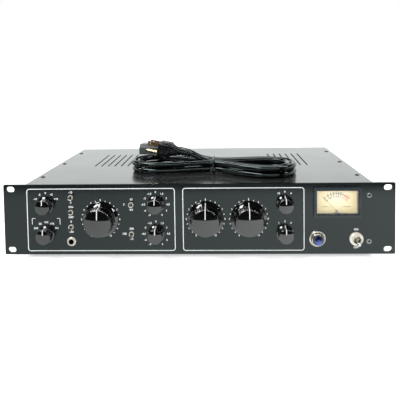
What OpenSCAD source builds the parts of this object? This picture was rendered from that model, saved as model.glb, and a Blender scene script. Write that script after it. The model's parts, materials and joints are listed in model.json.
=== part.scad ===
// Two-unit rack compressor with a tube preamplifier, standing on its feet with its mains lead on the cover.
// Origin: centre of the rack-slot pattern, on the back face of the front panel.
// +X runs to the right seen from the front, +Y to the rear, +Z up. All sizes in millimetres.

/* [Front panel] */
// Width over the rack ears
panel_w = 482.6; // [476:0.1:500]
// Height of the panel, two rack units less a gap
panel_h = 88.1; // [86:0.1:100]
// Thickness of the panel plate
panel_t = 3.2; // [2:0.1:5]
// Distance between rack slots across the panel
slot_dx = 465.1; // [462:0.1:468]
// Distance between rack slots up the panel
slot_dz = 76.2; // [70:0.1:78]
// Height of a rack slot
slot_w = 7; // [6:0.1:8]
// Length of a rack slot
slot_l = 10.3; // [9:0.1:12]

/* [Case] */
// Width of the case between the rack rails
case_w = 431.8; // [428:0.1:440]
// Depth of the case behind the panel
case_d = 296.8; // [280:0.1:340]
// Height of the case
case_h = 85.9; // [84:0.1:98]
// Thickness of the folded sheet
sheet_t = 1.5; // [1:0.1:2]
// Thickness of the cover plate
cover_t = 1.2; // [0.8:0.1:2]
// Width of the folded flanges
flange_w = 14; // [12:0.5:15]
// Distance of the cover screws from the side of the case
cover_screw_inset = 7.6; // [6:0.1:9]
// Distance between cover screws along a side
cover_screw_pitch = 99.5; // [80:0.5:110]
// Thread diameter of the case screws
case_screw_d = 3.5; // [3:0.1:4]
// Head diameter of the case screws
case_screw_head_d = 6.4; // [5.5:0.1:7]
// Head height of the case screws
case_screw_head_h = 0.9; // [0.8:0.1:2]
// Number of vent slots in a group
vent_count = 6; // [3:1:7]
// Distance between vent slots
vent_pitch = 9.75; // [8:0.05:11]
// Width of a vent slot
vent_w = 2; // [1.6:0.1:4]
// Length of a vent slot
vent_l = 104; // [60:1:130]
// Distance of the outermost vent slot from the middle
vent_outer_x = 156; // [140:0.5:170]
// Distance of the vent slots' middle behind the panel
vent_y = 176.8; // [150:0.1:190]
// Diameter of a foot
foot_d = 18; // [12:0.5:24]
// Height of a foot
foot_h = 5; // [3:0.5:8]
// Distance of a foot's middle from the sides of the case
foot_inset = 32; // [20:1:45]

/* [Panel layout] */
// Column of the two stepped input switches
switch_col_x = -188.5; // [-189:0.1:-187]
// Column of the three small toggles and the jack
toggle_col_x = -157; // [-159:0.1:-155]
// Middle of the level knob
level_x = -120; // [-122:0.1:-118]
// Column of the two frequency toggles
band_col_x = -81.7; // [-83:0.1:-80]
// Column of the two tone knobs
tone_col_x = -51.3; // [-53:0.1:-49]
// Middle of the reduction knob
reduction_x = 10.3; // [8:0.1:12]
// Middle of the make-up gain knob
makeup_x = 63.3; // [62:0.1:65]
// Column of the meter and mode knobs
select_col_x = 107.5; // [107:0.1:110]
// Height of the small knobs' rows above and below the middle
row_dz = 18.35; // [17:0.05:20]
// Distance between the small toggles and the jack in their column
toggle_pitch = 18.35; // [16:0.05:19]
// Middle of the meter across the panel
meter_x = 171; // [170:0.1:171.5]
// Middle of the meter up the panel
meter_z = 20.5; // [20:0.1:22]
// Middle of the pilot lamp
lamp_x = 147; // [145:0.1:150]
// Middle of the power switch
power_x = 193.9; // [192:0.1:194]
// Row of the lamp and the power switch
power_row_z = -24.9; // [-27:0.1:-24]
// Height of the panel screws above and below the middle
panel_screw_dz = 28.5; // [27:0.1:31]
// Distance of the panel screws from the side of the case
panel_screw_inset = 6.2; // [5.5:0.1:7]

/* [Knobs] */
// Diameter of a large knob's skirt
skirt_d = 44; // [40:0.1:45]
// Height of a large knob's flared skirt
skirt_h = 6; // [5:0.1:9]
// Diameter of a large knob's cap
cap_d = 33.6; // [30:0.1:34]
// Height of a large knob over the panel
big_knob_h = 22.5; // [20:0.1:26]
// Number of flutes round a large knob
big_flutes = 30; // [20:1:36]
// Diameter of a small knob at its foot
small_foot_d = 21.4; // [20:0.1:22]
// Diameter of a small knob's cap
small_cap_d = 18; // [17.5:0.1:19]
// Height of a small knob over the panel
small_knob_h = 16; // [13:0.1:18]
// Number of flutes round a small knob
small_flutes = 16; // [10:1:20]
// Radius of a flute
flute_r = 1.5; // [1.2:0.1:1.8]
// Depth of a flute
flute_depth = 0.55; // [0.3:0.05:0.8]
// Rise of a large knob's face to its middle
big_face_rise = 1.8; // [0.5:0.1:2.2]
// Rise of a small knob's face to its middle
small_face_rise = 1; // [0.3:0.1:1.2]
// Width of the pointer groove
pointer_w = 1; // [0.6:0.1:1.6]
// Depth of the pointer groove
pointer_depth = 0.3; // [0.2:0.05:0.5]
// Gap between a knob and the panel
knob_gap = 0.8; // [0.5:0.1:1.2]
// Diameter of the control shafts
shaft_d = 6.35; // [6:0.05:6.35]
// Diameter of the control bushings
bushing_d = 9.5; // [9:0.1:9.6]
// Length of a control bushing in front of the panel
bushing_out = 5; // [4:0.1:5.5]
// Radial clearance of a turning shaft
running_gap = 0.05; // [0.02:0.01:0.1]
// Width of a control nut across its flats
nut_af = 12.7; // [12:0.1:13]
// Thickness of a control nut
nut_t = 2.4; // [2:0.1:3]
// Diameter of a potentiometer's can
pot_d = 24; // [20:0.5:26]
// Depth of a potentiometer's can
pot_depth = 17; // [14:0.5:22]
// Diameter of a stepped switch's wafer
wafer_d = 25; // [20:0.5:26]
// Depth of a stepped switch
wafer_depth = 26; // [18:0.5:30]

/* [Toggles and jack] */
// Diameter of a small toggle's bushing
toggle_d = 6.3; // [6:0.1:7]
// Length of a small toggle's bushing in front of the panel
toggle_out = 3.2; // [2.5:0.1:4]
// Length of a small toggle's lever from its pivot
toggle_lever_l = 11; // [9:0.5:13]
// Throw of a small toggle each side of straight out, in degrees
toggle_throw = 12; // [8:1:14]
// Diameter of the power switch's bushing
power_d = 11.9; // [11:0.1:12.5]
// Diameter of the power switch's round nut
power_nut_d = 16.5; // [15:0.1:18]
// Thickness of the power switch's round nut
power_nut_t = 4; // [3:0.1:5]
// Length of the power lever from its pivot
power_lever_l = 14; // [12:0.5:18]
// Throw of the power lever each side of straight out, in degrees
power_throw = 14; // [10:1:16]
// Diameter of the jack's bushing
jack_d = 9; // [8.6:0.1:9.4]
// Bore of the jack
jack_bore_d = 6.5; // [6.4:0.05:6.8]
// Depth of the jack's bore behind its mouth
jack_bore_l = 30; // [28:0.5:32]
// Diameter of the jack's round nut
jack_nut_d = 11; // [10.5:0.1:13]
// Thickness of the jack's round nut
jack_nut_t = 2.2; // [1.5:0.1:3]

/* [Meter and lamp] */
// Width of the meter bezel
bezel_w = 57.5; // [55:0.1:58.5]
// Height of the meter bezel
bezel_h = 37.6; // [35:0.1:38]
// Height of the meter bezel over the panel
bezel_out = 5; // [4:0.1:6]
// Width of the meter window
window_w = 50; // [46:0.1:50.5]
// Height of the meter window
window_h = 28.4; // [26:0.1:30]
// Thickness of the window pane
pane_t = 1.2; // [0.8:0.1:1.6]
// Depth of the meter case behind the panel
meter_depth = 30; // [24:0.5:36]
// Wall of the meter case
meter_wall = 1.5; // [1:0.1:2]
// Distance of the dial behind the panel's front
dial_depth = 4; // [3.2:0.1:6]
// Length of the needle from its pivot
needle_l = 22; // [18:0.1:24]
// Width of the needle
needle_w = 0.6; // [0.4:0.1:1]
// Angle of the resting needle from upright, in degrees
needle_rest = 44; // [40:1:46]
// Diameter of the lamp's bezel
lamp_d = 20; // [18:0.1:22]
// Height of the lamp's bezel over the panel
lamp_out = 6.5; // [5:0.1:8]
// Diameter of the lamp's jewel
jewel_d = 11.6; // [10:0.1:12.5]
// Height of the jewel over the panel
jewel_out = 11; // [9:0.1:13]
// Number of sides of the jewel's facets
jewel_sides = 10; // [8:1:12]

/* [Mains lead] */
// Diameter of the lead
cord_d = 7.4; // [6.6:0.1:7.4]
// Distance between the lead's turns
cord_step = 8; // [7.9:0.1:8.5]
// Reach of the right loops from the waist
hank_reach_r = 102; // [100:1:112]
// Reach of the left loops from the waist
hank_reach_l = 107; // [100:1:112]
// Spread of the right loops
hank_spread_r = 62; // [56:1:66]
// Spread of the left loops
hank_spread_l = 55; // [54:1:60]
// Softness of the draw at the waist
waist_soft = 0.3; // [0.25:0.01:0.4]
// Middle of the hank across the cover
hank_x = 20; // [15:1:25]
// Middle of the hank behind the panel
hank_y = 85; // [80:1:90]
// Turn of the hank on the cover, in degrees
hank_turn = -12; // [-14:1:-10]
// Gap between things that rest on each other
rest_gap = 0.3; // [0.2:0.05:0.5]
// Width of the tie round the hank
tie_w = 2; // [1.5:0.1:4]
// Thickness of the tie
tie_t = 1; // [0.6:0.1:1.2]
// Turn of the tie on the cover, in degrees
tie_turn = -2; // [-8:1:2]
// Length of the plug's body
plug_l = 30.5; // [28:0.5:36]
// Length of the plug's full-height head
plug_head_l = 17; // [15:0.5:20]
// Width of the plug's body
plug_w = 25; // [22:0.5:27]
// Height of the plug's body
plug_h = 20; // [18:0.5:23]
// Length of the connector's body
connector_l = 36; // [32:0.5:40]
// Width of the connector's body
connector_w = 27; // [25:0.5:29]
// Height of the connector's body
connector_h = 15; // [14:0.5:18]
// Length of a strain relief
relief_l = 15; // [14:0.5:20]

/* [Inside] */
// Thickness of the circuit board
board_t = 1.6; // [1:0.1:2]
// Height of the standoffs
standoff_h = 9; // [6:0.5:12]
// Outer diameter of the mains transformer
toroid_d = 98; // [80:1:104]
// Height of the mains transformer
toroid_h = 44; // [36:1:50]
// Diameter of a tube
tube_d = 21; // [18:0.5:22]
// Height of a tube
tube_h = 48; // [40:1:52]
// Diameter of a filter capacitor
filter_d = 25; // [18:0.5:28]
// Height of a filter capacitor
filter_h = 42; // [30:1:50]

/* [Rear sockets] */
// Middle of the mains inlet
inlet_x = 165; // [150:1:170]
// Middle of the fuse holder
fuse_x = 118; // [105:1:122]
// Middle of the output socket
output_x = -60; // [-70:1:-50]
// Middle of the first input socket
input_x = -120; // [-122:1:-110]
// Distance to the second input socket
input_pitch = 45; // [36:1:50]
// Diameter of a round socket's barrel
socket_d = 23.6; // [22:0.1:24]
// Depth of a round socket behind the rear panel
socket_depth = 20; // [17:0.5:24]
// Thickness of the sockets' flanges
socket_flange_t = 2.4; // [2:0.1:3]

/* [Hidden] */
$fn = 48;
eps = 0.01;
fit_gap = 0.25;
corner_r = 1.5;

half_w = case_w / 2;
case_top = case_h / 2;
case_bottom = -case_h / 2;
wall_top = case_top - cover_t;
floor_top = case_bottom + sheet_t;
tray_end = case_d - sheet_t;
front = -panel_t;

panel_screw_x = half_w - panel_screw_inset;
stud_l = sheet_t + 5;
cover_screw_x = half_w - cover_screw_inset;
cover_screw_ys = [for (i = [-1:1]) case_d / 2 + i * cover_screw_pitch];
rear_screw_zs = [for (s = [-1, 1]) s * case_h / 3];

// Columns close up or open out with the case, clear of the tray's flanges.
edge_room = 22;
layout_half = 193.9;
function column(x) = x * (half_w - edge_room) / layout_half;

// Name, column, row and size of each rotary control
KNOBS = [
    ["gain_switch", column(switch_col_x), row_dz, "small"],
    ["source_switch", column(switch_col_x), -row_dz, "small"],
    ["level", column(level_x), 0, "big"],
    ["treble", column(tone_col_x), row_dz, "small"],
    ["bass", column(tone_col_x), -row_dz, "small"],
    ["reduction", column(reduction_x), 0, "big"],
    ["makeup", column(makeup_x), 0, "big"],
    ["meter_select", column(select_col_x), row_dz, "small"],
    ["mode", column(select_col_x), -row_dz, "small"]
];

// Name, column, row and resting side of each small toggle
TOGGLES = [
    ["pad", column(toggle_col_x), 1.5 * toggle_pitch, 1],
    ["phantom", column(toggle_col_x), 0.5 * toggle_pitch, 1],
    ["polarity", column(toggle_col_x), -0.5 * toggle_pitch, -1],
    ["treble_band", column(band_col_x), row_dz, 1],
    ["bass_band", column(band_col_x), -row_dz, -1]
];
jack_z = -1.5 * toggle_pitch;

// Carries children to a place on the panel's front, with their +Z out towards the user and +Y up.
module on_panel(x, z, y = front) {
    translate([x, y, z]) rotate([90, 0, 0]) children();
}

// Carries children to a place on the rear face, with their +Z out to the rear and +Y up.
module on_rear(x, z, y = case_d) {
    translate([x, y, z]) rotate([-90, 0, 0]) mirror([0, 1, 0]) children();
}

// Plate in the XZ plane that reaches forward from y by its thickness.
module plate(t, y) {
    translate([0, y, 0]) rotate([90, 0, 0]) linear_extrude(t) children();
}

// Slot with round ends along X.
module obround(l, w) {
    square([l - w, w], center = true);
    for (s = [-1, 1]) translate([s * (l - w) / 2, 0]) circle(d = w);
}

// Rectangle with round corners.
module rounded(w, h, r) {
    square([w - 2 * r, h], center = true);
    square([w, h - 2 * r], center = true);
    for (sx = [-1, 1], sy = [-1, 1])
        translate([sx * (w / 2 - r), sy * (h / 2 - r)]) circle(r = r);
}

// Ring along Z.
module ring(d, bore, h) {
    difference() {
        cylinder(d = d, h = h);
        translate([0, 0, -eps]) cylinder(d = bore, h = h + 2 * eps);
    }
}

module front_panel() {
    color([0.25, 0.28, 0.29]) {
        plate(panel_t, 0) difference() {
            rounded(panel_w, panel_h, corner_r);
            for (sx = [-1, 1], sz = [-1, 1])
                translate([sx * slot_dx / 2, sz * slot_dz / 2]) obround(slot_l, slot_w);
            for (k = KNOBS) translate([k[1], k[2]]) circle(d = bushing_d + 2 * fit_gap);
            for (t = TOGGLES) translate([t[1], t[2]]) circle(d = toggle_d + 2 * fit_gap);
            translate([column(toggle_col_x), jack_z]) circle(d = jack_d + 2 * fit_gap);
            translate([column(meter_x), meter_z])
                square([barrel_w + 2 * fit_gap, barrel_h + 2 * fit_gap], center = true);
            translate([column(lamp_x), power_row_z]) circle(d = holder_d + 2 * fit_gap);
            translate([column(power_x), power_row_z]) circle(d = power_d + 2 * fit_gap);
            for (s = [-1, 1])
                translate([panel_screw_x, s * panel_screw_dz]) circle(d = case_screw_d + 2 * fit_gap);
        }
        for (s = [-1, 1])
            translate([-panel_screw_x, 0, s * panel_screw_dz])
                rotate([-90, 0, 0]) translate([0, 0, -eps]) cylinder(d = case_screw_d, h = stud_l + eps);
    }
}

// Folded tray: floor, two sides and their flanges at the top, the front and the rear.
module chassis_tray() {
    color([0.2, 0.21, 0.22]) difference() {
        union() {
            translate([-half_w, 0, case_bottom]) cube([case_w, tray_end, sheet_t]);
            for (s = [0, 1]) mirror([s, 0, 0]) {
                translate([half_w - sheet_t, 0, case_bottom])
                    cube([sheet_t, tray_end, wall_top - case_bottom]);
                translate([half_w - flange_w, 0, wall_top - sheet_t]) cube([flange_w, tray_end, sheet_t]);
                for (y = [0, tray_end - sheet_t])
                    translate([half_w - flange_w, y, case_bottom])
                        cube([flange_w, sheet_t, wall_top - case_bottom]);
            }
        }
        for (sx = [-1, 1]) {
            for (y = cover_screw_ys)
                translate([sx * cover_screw_x, y, wall_top - 2 * sheet_t])
                    cylinder(d = case_screw_d + 2 * fit_gap, h = 3 * sheet_t);
            for (sz = [-1, 1])
                translate([sx * panel_screw_x, -eps, sz * panel_screw_dz])
                    rotate([-90, 0, 0]) cylinder(d = case_screw_d + 2 * fit_gap, h = sheet_t + 2 * eps);
            for (z = rear_screw_zs)
                translate([sx * panel_screw_x, tray_end - sheet_t - eps, z])
                    rotate([-90, 0, 0]) cylinder(d = case_screw_d + 2 * fit_gap, h = sheet_t + 2 * eps);
        }
    }
}

module rear_panel() {
    color([0.2, 0.21, 0.22]) plate(sheet_t, case_d) difference() {
        translate([0, (wall_top + case_bottom) / 2]) square([case_w, wall_top - case_bottom], center = true);
        for (sx = [-1, 1], z = rear_screw_zs)
            translate([sx * panel_screw_x, z]) circle(d = case_screw_d + 2 * fit_gap);
        translate([inlet_x, 0]) square([inlet_w + 2 * fit_gap, inlet_h + 2 * fit_gap], center = true);
        translate([fuse_x, 0]) circle(d = fuse_d + 2 * fit_gap);
        for (x = concat(input_xs, [output_x])) translate([x, 0]) circle(d = socket_d + 2 * fit_gap);
    }
}

module top_cover() {
    color([0.2, 0.21, 0.22]) translate([0, 0, wall_top]) linear_extrude(cover_t) difference() {
        translate([-half_w, 0]) square([case_w, case_d]);
        for (sx = [-1, 1], i = [0:vent_count - 1])
            translate([sx * (vent_outer_x - i * vent_pitch), vent_y]) rotate(90) obround(vent_l, vent_w);
        for (sx = [-1, 1], y = cover_screw_ys)
            translate([sx * cover_screw_x, y]) circle(d = case_screw_d + 2 * fit_gap);
    }
}

// Screw with a low domed head, head up from z = 0 and shank below.
module case_screw(grip) {
    head_r = case_screw_head_d / 2;
    difference() {
        union() {
            translate([0, 0, -grip]) cylinder(d = case_screw_d, h = grip + eps);
            rotate_extrude() polygon(concat(
                [[0, 0], [head_r, 0]],
                [for (a = [10:20:90]) [head_r * cos(a), case_screw_head_h * sin(a)]]
            ));
        }
        translate([0, 0, case_screw_head_h * 0.3]) cylinder(d = head_r, h = case_screw_head_h, $fn = 6);
    }
}

// Screws of the cover and of the rear panel.
module case_screws() {
    color([0.12, 0.12, 0.13]) for (sx = [-1, 1]) {
        for (y = cover_screw_ys)
            translate([sx * cover_screw_x, y, case_top]) case_screw(cover_t + 2 * sheet_t);
        for (z = rear_screw_zs) on_rear(sx * panel_screw_x, z) case_screw(3 * sheet_t);
    }
}

module panel_screws() {
    color([0.6, 0.6, 0.6]) for (s = [-1, 1])
        on_panel(panel_screw_x, s * panel_screw_dz) case_screw(panel_t + 2 * sheet_t);
}

module stud_nuts() {
    color([0.6, 0.6, 0.6]) for (s = [-1, 1])
        translate([-panel_screw_x, sheet_t, s * panel_screw_dz]) rotate([-90, 0, 0]) difference() {
            cylinder(d = 2 * case_screw_d, h = nut_t, $fn = 6);
            translate([0, 0, -eps]) cylinder(d = case_screw_d + 2 * running_gap, h = nut_t + 2 * eps);
        }
}

module feet() {
    color([0.05, 0.05, 0.05])
        for (sx = [-1, 1], y = [foot_inset, case_d - foot_inset])
            translate([sx * (half_w - foot_inset), y, case_bottom - foot_h])
                cylinder(d1 = foot_d - 3, d2 = foot_d, h = foot_h);
}

// Inside: board, tubes, transformers and their supports
board_w = 240;
board_l = 150;
board_x = -62;
board_front = 62;
board_y = board_front + board_l / 2;
board_z = floor_top + standoff_h;
board_top = board_z + board_t;
standoff_d = 7;
standoff_bore_d = 3;
board_hole_d = 3.2;
standoff_inset = 8;
tube_gap = 9.75;
socket_h = 9;
tube_row_y = vent_y;
tube_xs = [for (i = [0:3]) -vent_outer_x + tube_d / 2 + 8 + i * (tube_d + tube_gap)];
opto_d = 32;
opto_h = 46;
opto_x = tube_xs[3] + tube_d / 2 + opto_d / 2 + 12;
toroid_room = 16.9;
toroid_x = half_w - toroid_room - toroid_d / 2;
toroid_y = vent_y;
toroid_bore_d = 34;
toroid_corner_r = 8;
clamp_t = 2.5;
clamp_bolt_d = 8;
audio_can_d = 34;
audio_can_h = 44;
audio_xs = [-150, -95];
audio_y = 245;
filter_xs = [for (i = [0:2]) -20 + i * (filter_d + 5)];
filter_row_gap = 60;
filter_y = vent_y - filter_row_gap;

module main_board() {
    color([0.1, 0.3, 0.15]) translate([board_x, board_y, board_z]) linear_extrude(board_t) difference() {
        square([board_w, board_l], center = true);
        for (sx = [-1, 0, 1], sy = [-1, 1])
            translate([sx * (board_w / 2 - standoff_inset), sy * (board_l / 2 - standoff_inset)])
                circle(d = board_hole_d);
    }
}

module board_standoffs() {
    color([0.75, 0.7, 0.5]) for (sx = [-1, 0, 1], sy = [-1, 1])
        translate([
            board_x + sx * (board_w / 2 - standoff_inset),
            board_y + sy * (board_l / 2 - standoff_inset),
            floor_top
        ])
            ring(standoff_d, standoff_bore_d, standoff_h);
}

module mains_transformer() {
    r_out = toroid_d / 2;
    r_in = toroid_bore_d / 2;
    c = toroid_corner_r;
    color([0.8, 0.75, 0.3]) translate([toroid_x, toroid_y, floor_top]) rotate_extrude() union() {
        translate([r_in, c]) square([r_out - r_in, toroid_h - 2 * c]);
        translate([r_in + c, 0]) square([r_out - r_in - 2 * c, toroid_h]);
        for (r = [r_in + c, r_out - c], z = [c, toroid_h - c]) translate([r, z]) circle(r = c);
    }
}

// Dished washer on the transformer with its bolt down the bore.
module transformer_clamp() {
    color([0.7, 0.7, 0.72]) translate([toroid_x, toroid_y, floor_top]) {
        translate([0, 0, toroid_h]) cylinder(d = toroid_d * 0.62, h = clamp_t);
        cylinder(d = clamp_bolt_d, h = toroid_h + clamp_t);
        translate([0, 0, toroid_h + clamp_t - eps]) cylinder(d = 1.8 * clamp_bolt_d, h = 5, $fn = 6);
    }
}

module audio_transformers() {
    color([0.55, 0.56, 0.58]) for (x = audio_xs) translate([x, audio_y, floor_top]) {
        cylinder(d = audio_can_d, h = audio_can_h);
        translate([0, 0, audio_can_h - eps]) cylinder(d1 = audio_can_d, d2 = audio_can_d - 6, h = 3);
    }
}

// Glass bottle with a rounded shoulder and an exhaust tip.
module tube_bottle() {
    r = tube_d / 2;
    rotate_extrude() polygon(concat(
        [[0, 0], [r - 1, 0], [r, 1], [r, tube_h - r]],
        [for (a = [15:15:75]) [r * cos(a), tube_h - r + r * 0.75 * sin(a)]],
        [[1.8, tube_h - r * 0.24], [0, tube_h]]
    ));
}

module tubes() {
    color([0.8, 0.85, 0.9, 0.6]) for (x = tube_xs)
        translate([x, tube_row_y, board_top + socket_h]) tube_bottle();
}

module tube_sockets() {
    color([0.9, 0.88, 0.8]) {
        for (x = tube_xs) translate([x, tube_row_y, board_top]) cylinder(d = tube_d + 2, h = socket_h);
        translate([opto_x, tube_row_y, board_top]) cylinder(d = opto_d, h = socket_h);
    }
}

module opto_cell() {
    color([0.6, 0.6, 0.62]) translate([opto_x, tube_row_y, board_top + socket_h]) {
        cylinder(d = opto_d, h = opto_h);
        translate([0, 0, opto_h - eps]) cylinder(d1 = opto_d, d2 = opto_d - 4, h = 2);
    }
}

module filter_capacitors() {
    color([0.1, 0.12, 0.3]) for (x = filter_xs)
        translate([x, filter_y, board_top]) cylinder(d = filter_d, h = filter_h);
}

// Rotary controls
bushing_l = panel_t + bushing_out;
shaft_in = 12;

// Body behind the panel with its bushing through it and a bore for the turning shaft.
module control_body(d, depth, lugs) {
    difference() {
        union() {
            translate([0, 0, -panel_t - depth]) cylinder(d = d, h = depth);
            translate([0, 0, -panel_t - eps]) cylinder(d = bushing_d, h = bushing_l + eps);
            for (i = [0:lugs - 1]) rotate(180 / lugs * (i + 0.5) + 180)
                translate([d / 2 - 1, -1.5, -panel_t - depth / 2]) cube([7, 3, 0.8]);
        }
        translate([0, 0, -panel_t - shaft_in - 1])
            cylinder(d = shaft_d + 2 * running_gap, h = bushing_l + shaft_in + 2);
    }
}

module pot_bodies() {
    color([0.5, 0.5, 0.48]) for (k = KNOBS) if (k[3] == "big")
        on_panel(k[1], k[2]) control_body(pot_d, pot_depth, 3);
}

module rotary_switch_bodies() {
    color([0.75, 0.7, 0.55]) for (k = KNOBS) if (k[3] == "small")
        on_panel(k[1], k[2]) control_body(wafer_d, wafer_depth, 6);
}

module control_nuts() {
    color([0.75, 0.75, 0.76]) for (k = KNOBS) on_panel(k[1], k[2]) difference() {
        cylinder(d = nut_af / cos(30), h = nut_t, $fn = 6);
        translate([0, 0, -eps]) cylinder(d = bushing_d + 2 * running_gap, h = nut_t + 2 * eps);
    }
}

// Points across a face that rises to its middle.
function face_points(r, h, rise) = [for (i = [0:4]) let (q = 1 - i / 4) [r * q, h + rise * (1 - q * q)]];

// Outline of a knob: foot, skirt, cap and face, from the panel's front.
knob_rim = 0.9;
skirt_edge = 1;
small_foot_h = 3;
flute_start = 0.7;
pointer_start = 0.25;

function skirted_outline() = let (
    rs = skirt_d / 2,
    rc = cap_d / 2,
    top = knob_gap + skirt_h,
    rim = big_knob_h - big_face_rise
) concat(
    [[0, knob_gap], [rs - 0.4, knob_gap], [rs, knob_gap + 0.4], [rs, knob_gap + skirt_edge],
     [rs - 0.4, knob_gap + skirt_edge + 0.3], [rc + 0.5, top - 0.5], [rc, top], [rc, rim - knob_rim]],
    face_points(rc - knob_rim, rim, big_face_rise)
);
function small_outline() = let (
    rf = small_foot_d / 2,
    rc = small_cap_d / 2,
    rim = small_knob_h - small_face_rise
) concat(
    [[0, knob_gap], [rf - 0.4, knob_gap], [rf, knob_gap + 0.4], [rf, knob_gap + 1.6],
     [rc, knob_gap + small_foot_h], [rc, rim - knob_rim]],
    face_points(rc - knob_rim, rim, small_face_rise)
);

// Knob with flutes, a pointer groove, a hollow over the nut and a bore, and the shaft that it sits on.
module knob(outline, r_foot, r_cap, z_cap, h, rise, flutes) {
    hollow_d = nut_af / cos(30) + 1.2;
    hollow_top = bushing_out + 1;
    shaft_top = h - 4;
    face_slope = atan(rise * (1 - pointer_start * pointer_start) / (r_cap * (1 - pointer_start)));
    difference() {
        rotate_extrude($fn = 96) polygon(outline);
        for (i = [0:flutes - 1]) rotate((i + 0.5) * 360 / flutes)
            translate([0, r_cap + flute_r - flute_depth, z_cap]) cylinder(r = flute_r, h = h);
        translate([0, r_cap, h - rise - pointer_depth]) rotate([-face_slope, 0, 0])
            translate([-pointer_w / 2, r_cap * (pointer_start - 1), 0]) cube([pointer_w, r_foot, h]);
        translate([-pointer_w / 2, r_cap - pointer_depth, z_cap]) cube([pointer_w, r_foot, h]);
        translate([0, 0, -eps]) cylinder(d = hollow_d, h = hollow_top + eps);
        cylinder(d = shaft_d + running_gap, h = shaft_top + 0.5);
    }
    translate([0, 0, -panel_t - shaft_in]) cylinder(d = shaft_d, h = panel_t + shaft_in + shaft_top);
}

module control_knob(k) {
    color([0.03, 0.03, 0.03]) on_panel(k[1], k[2]) {
        if (k[3] == "big")
            knob(
                skirted_outline(), skirt_d / 2, cap_d / 2, knob_gap + skirt_h + flute_start,
                big_knob_h, big_face_rise, big_flutes
            );
        else
            knob(
                small_outline(), small_foot_d / 2, small_cap_d / 2, knob_gap + small_foot_h + flute_start,
                small_knob_h, small_face_rise, small_flutes
            );
    }
}

// Toggles
toggle_body = [8, 13, 9.5];
toggle_pivot = 0.6;
toggle_bore_d = 4.2;
toggle_ball_d = 3.6;
toggle_stem_d = 2.2;
toggle_tip_d = 3.1;
power_body = [13, 26, 20];
power_out = 7.5;
power_pivot = 3.4;
power_bore_d = 8.4;
power_ball_d = 7.4;
power_stem_d = 3.8;
power_tip_d = 5.4;

// Switch body behind the panel with a bored bushing through it.
module toggle_body_solid(body, d, out, bore) {
    difference() {
        union() {
            translate([0, 0, -panel_t - body[2] / 2]) cube(body, center = true);
            translate([0, 0, -panel_t - eps]) cylinder(d = d, h = panel_t + out + eps);
        }
        translate([0, 0, -panel_t - body[2] / 2]) cylinder(d = bore, h = panel_t + body[2]);
        translate([0, 0, out - 0.8]) cylinder(d1 = bore, d2 = bore + 1.4, h = 0.8 + eps);
    }
}

// Bat lever: a ball at the pivot, a stem that swells to its tip, and a short tail behind.
module bat_lever(l, ball_d, stem_d, tip_d) {
    rotate_extrude() polygon(concat(
        [[0, -ball_d], [stem_d / 2, -ball_d]],
        [for (a = [-50:20:50]) [ball_d / 2 * cos(a), ball_d / 2 * sin(a)]],
        [[stem_d / 2, ball_d * 0.7], [stem_d / 2, ball_d]],
        [for (a = [-15:15:90]) [tip_d / 2 * cos(a), l - tip_d / 2 + tip_d / 2 * sin(a)]]
    ));
}

module toggle_bodies() {
    color([0.75, 0.75, 0.76]) for (t = TOGGLES)
        on_panel(t[1], t[2]) toggle_body_solid(toggle_body, toggle_d, toggle_out, toggle_bore_d);
}

module power_switch_body() {
    color([0.75, 0.75, 0.76])
        on_panel(column(power_x), power_row_z)
            toggle_body_solid(power_body, power_d, power_out, power_bore_d);
}

module toggle_lever(t) {
    color([0.03, 0.03, 0.03]) on_panel(t[1], t[2])
        translate([0, 0, toggle_pivot]) rotate([-t[3] * toggle_throw, 0, 0])
            bat_lever(toggle_lever_l, toggle_ball_d, toggle_stem_d, toggle_tip_d);
}

module power_lever() {
    color([0.85, 0.83, 0.78]) on_panel(column(power_x), power_row_z)
        translate([0, 0, power_pivot]) rotate([power_throw, 0, 0])
            bat_lever(power_lever_l, power_ball_d, power_stem_d, power_tip_d);
}

// Round nuts with a bevelled front on the power switch and the jack.
module round_nut(d, bore, t) {
    difference() {
        union() {
            cylinder(d = d, h = t - 1);
            translate([0, 0, t - 1 - eps]) cylinder(d1 = d, d2 = d - 2, h = 1);
        }
        translate([0, 0, -eps]) cylinder(d = bore, h = t + 2 * eps);
    }
}

module dress_nuts() {
    color([0.85, 0.83, 0.78]) {
        on_panel(column(power_x), power_row_z) round_nut(power_nut_d, power_d + 2 * running_gap, power_nut_t);
        on_panel(column(toggle_col_x), jack_z) round_nut(jack_nut_d, jack_d + 2 * running_gap, jack_nut_t);
    }
}

jack_out = jack_nut_t + 0.4;
jack_body = [18, 16];

module instrument_jack() {
    body_l = jack_bore_l - panel_t - jack_out + 4;
    color([0.15, 0.15, 0.15]) on_panel(column(toggle_col_x), jack_z) difference() {
        union() {
            translate([0, 0, -panel_t - body_l / 2])
                cube([jack_body[0], jack_body[1], body_l], center = true);
            translate([0, 0, -panel_t - eps]) cylinder(d = jack_d, h = panel_t + jack_out + eps);
        }
        translate([0, 0, jack_out - jack_bore_l]) cylinder(d = jack_bore_d, h = jack_bore_l + eps);
    }
}

// Pilot lamp
holder_d = 14;
holder_l = 26;

module lamp_holder() {
    color([0.2, 0.2, 0.2]) on_panel(column(lamp_x), power_row_z) difference() {
        union() {
            translate([0, 0, -panel_t - holder_l]) cylinder(d = holder_d, h = panel_t + holder_l);
            translate([0, 0, -panel_t - 3]) cylinder(d = holder_d + 5, h = 3, $fn = 6);
        }
        translate([0, 0, -panel_t - holder_l + 4]) cylinder(d = holder_d - 3, h = holder_l + panel_t);
    }
}

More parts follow.
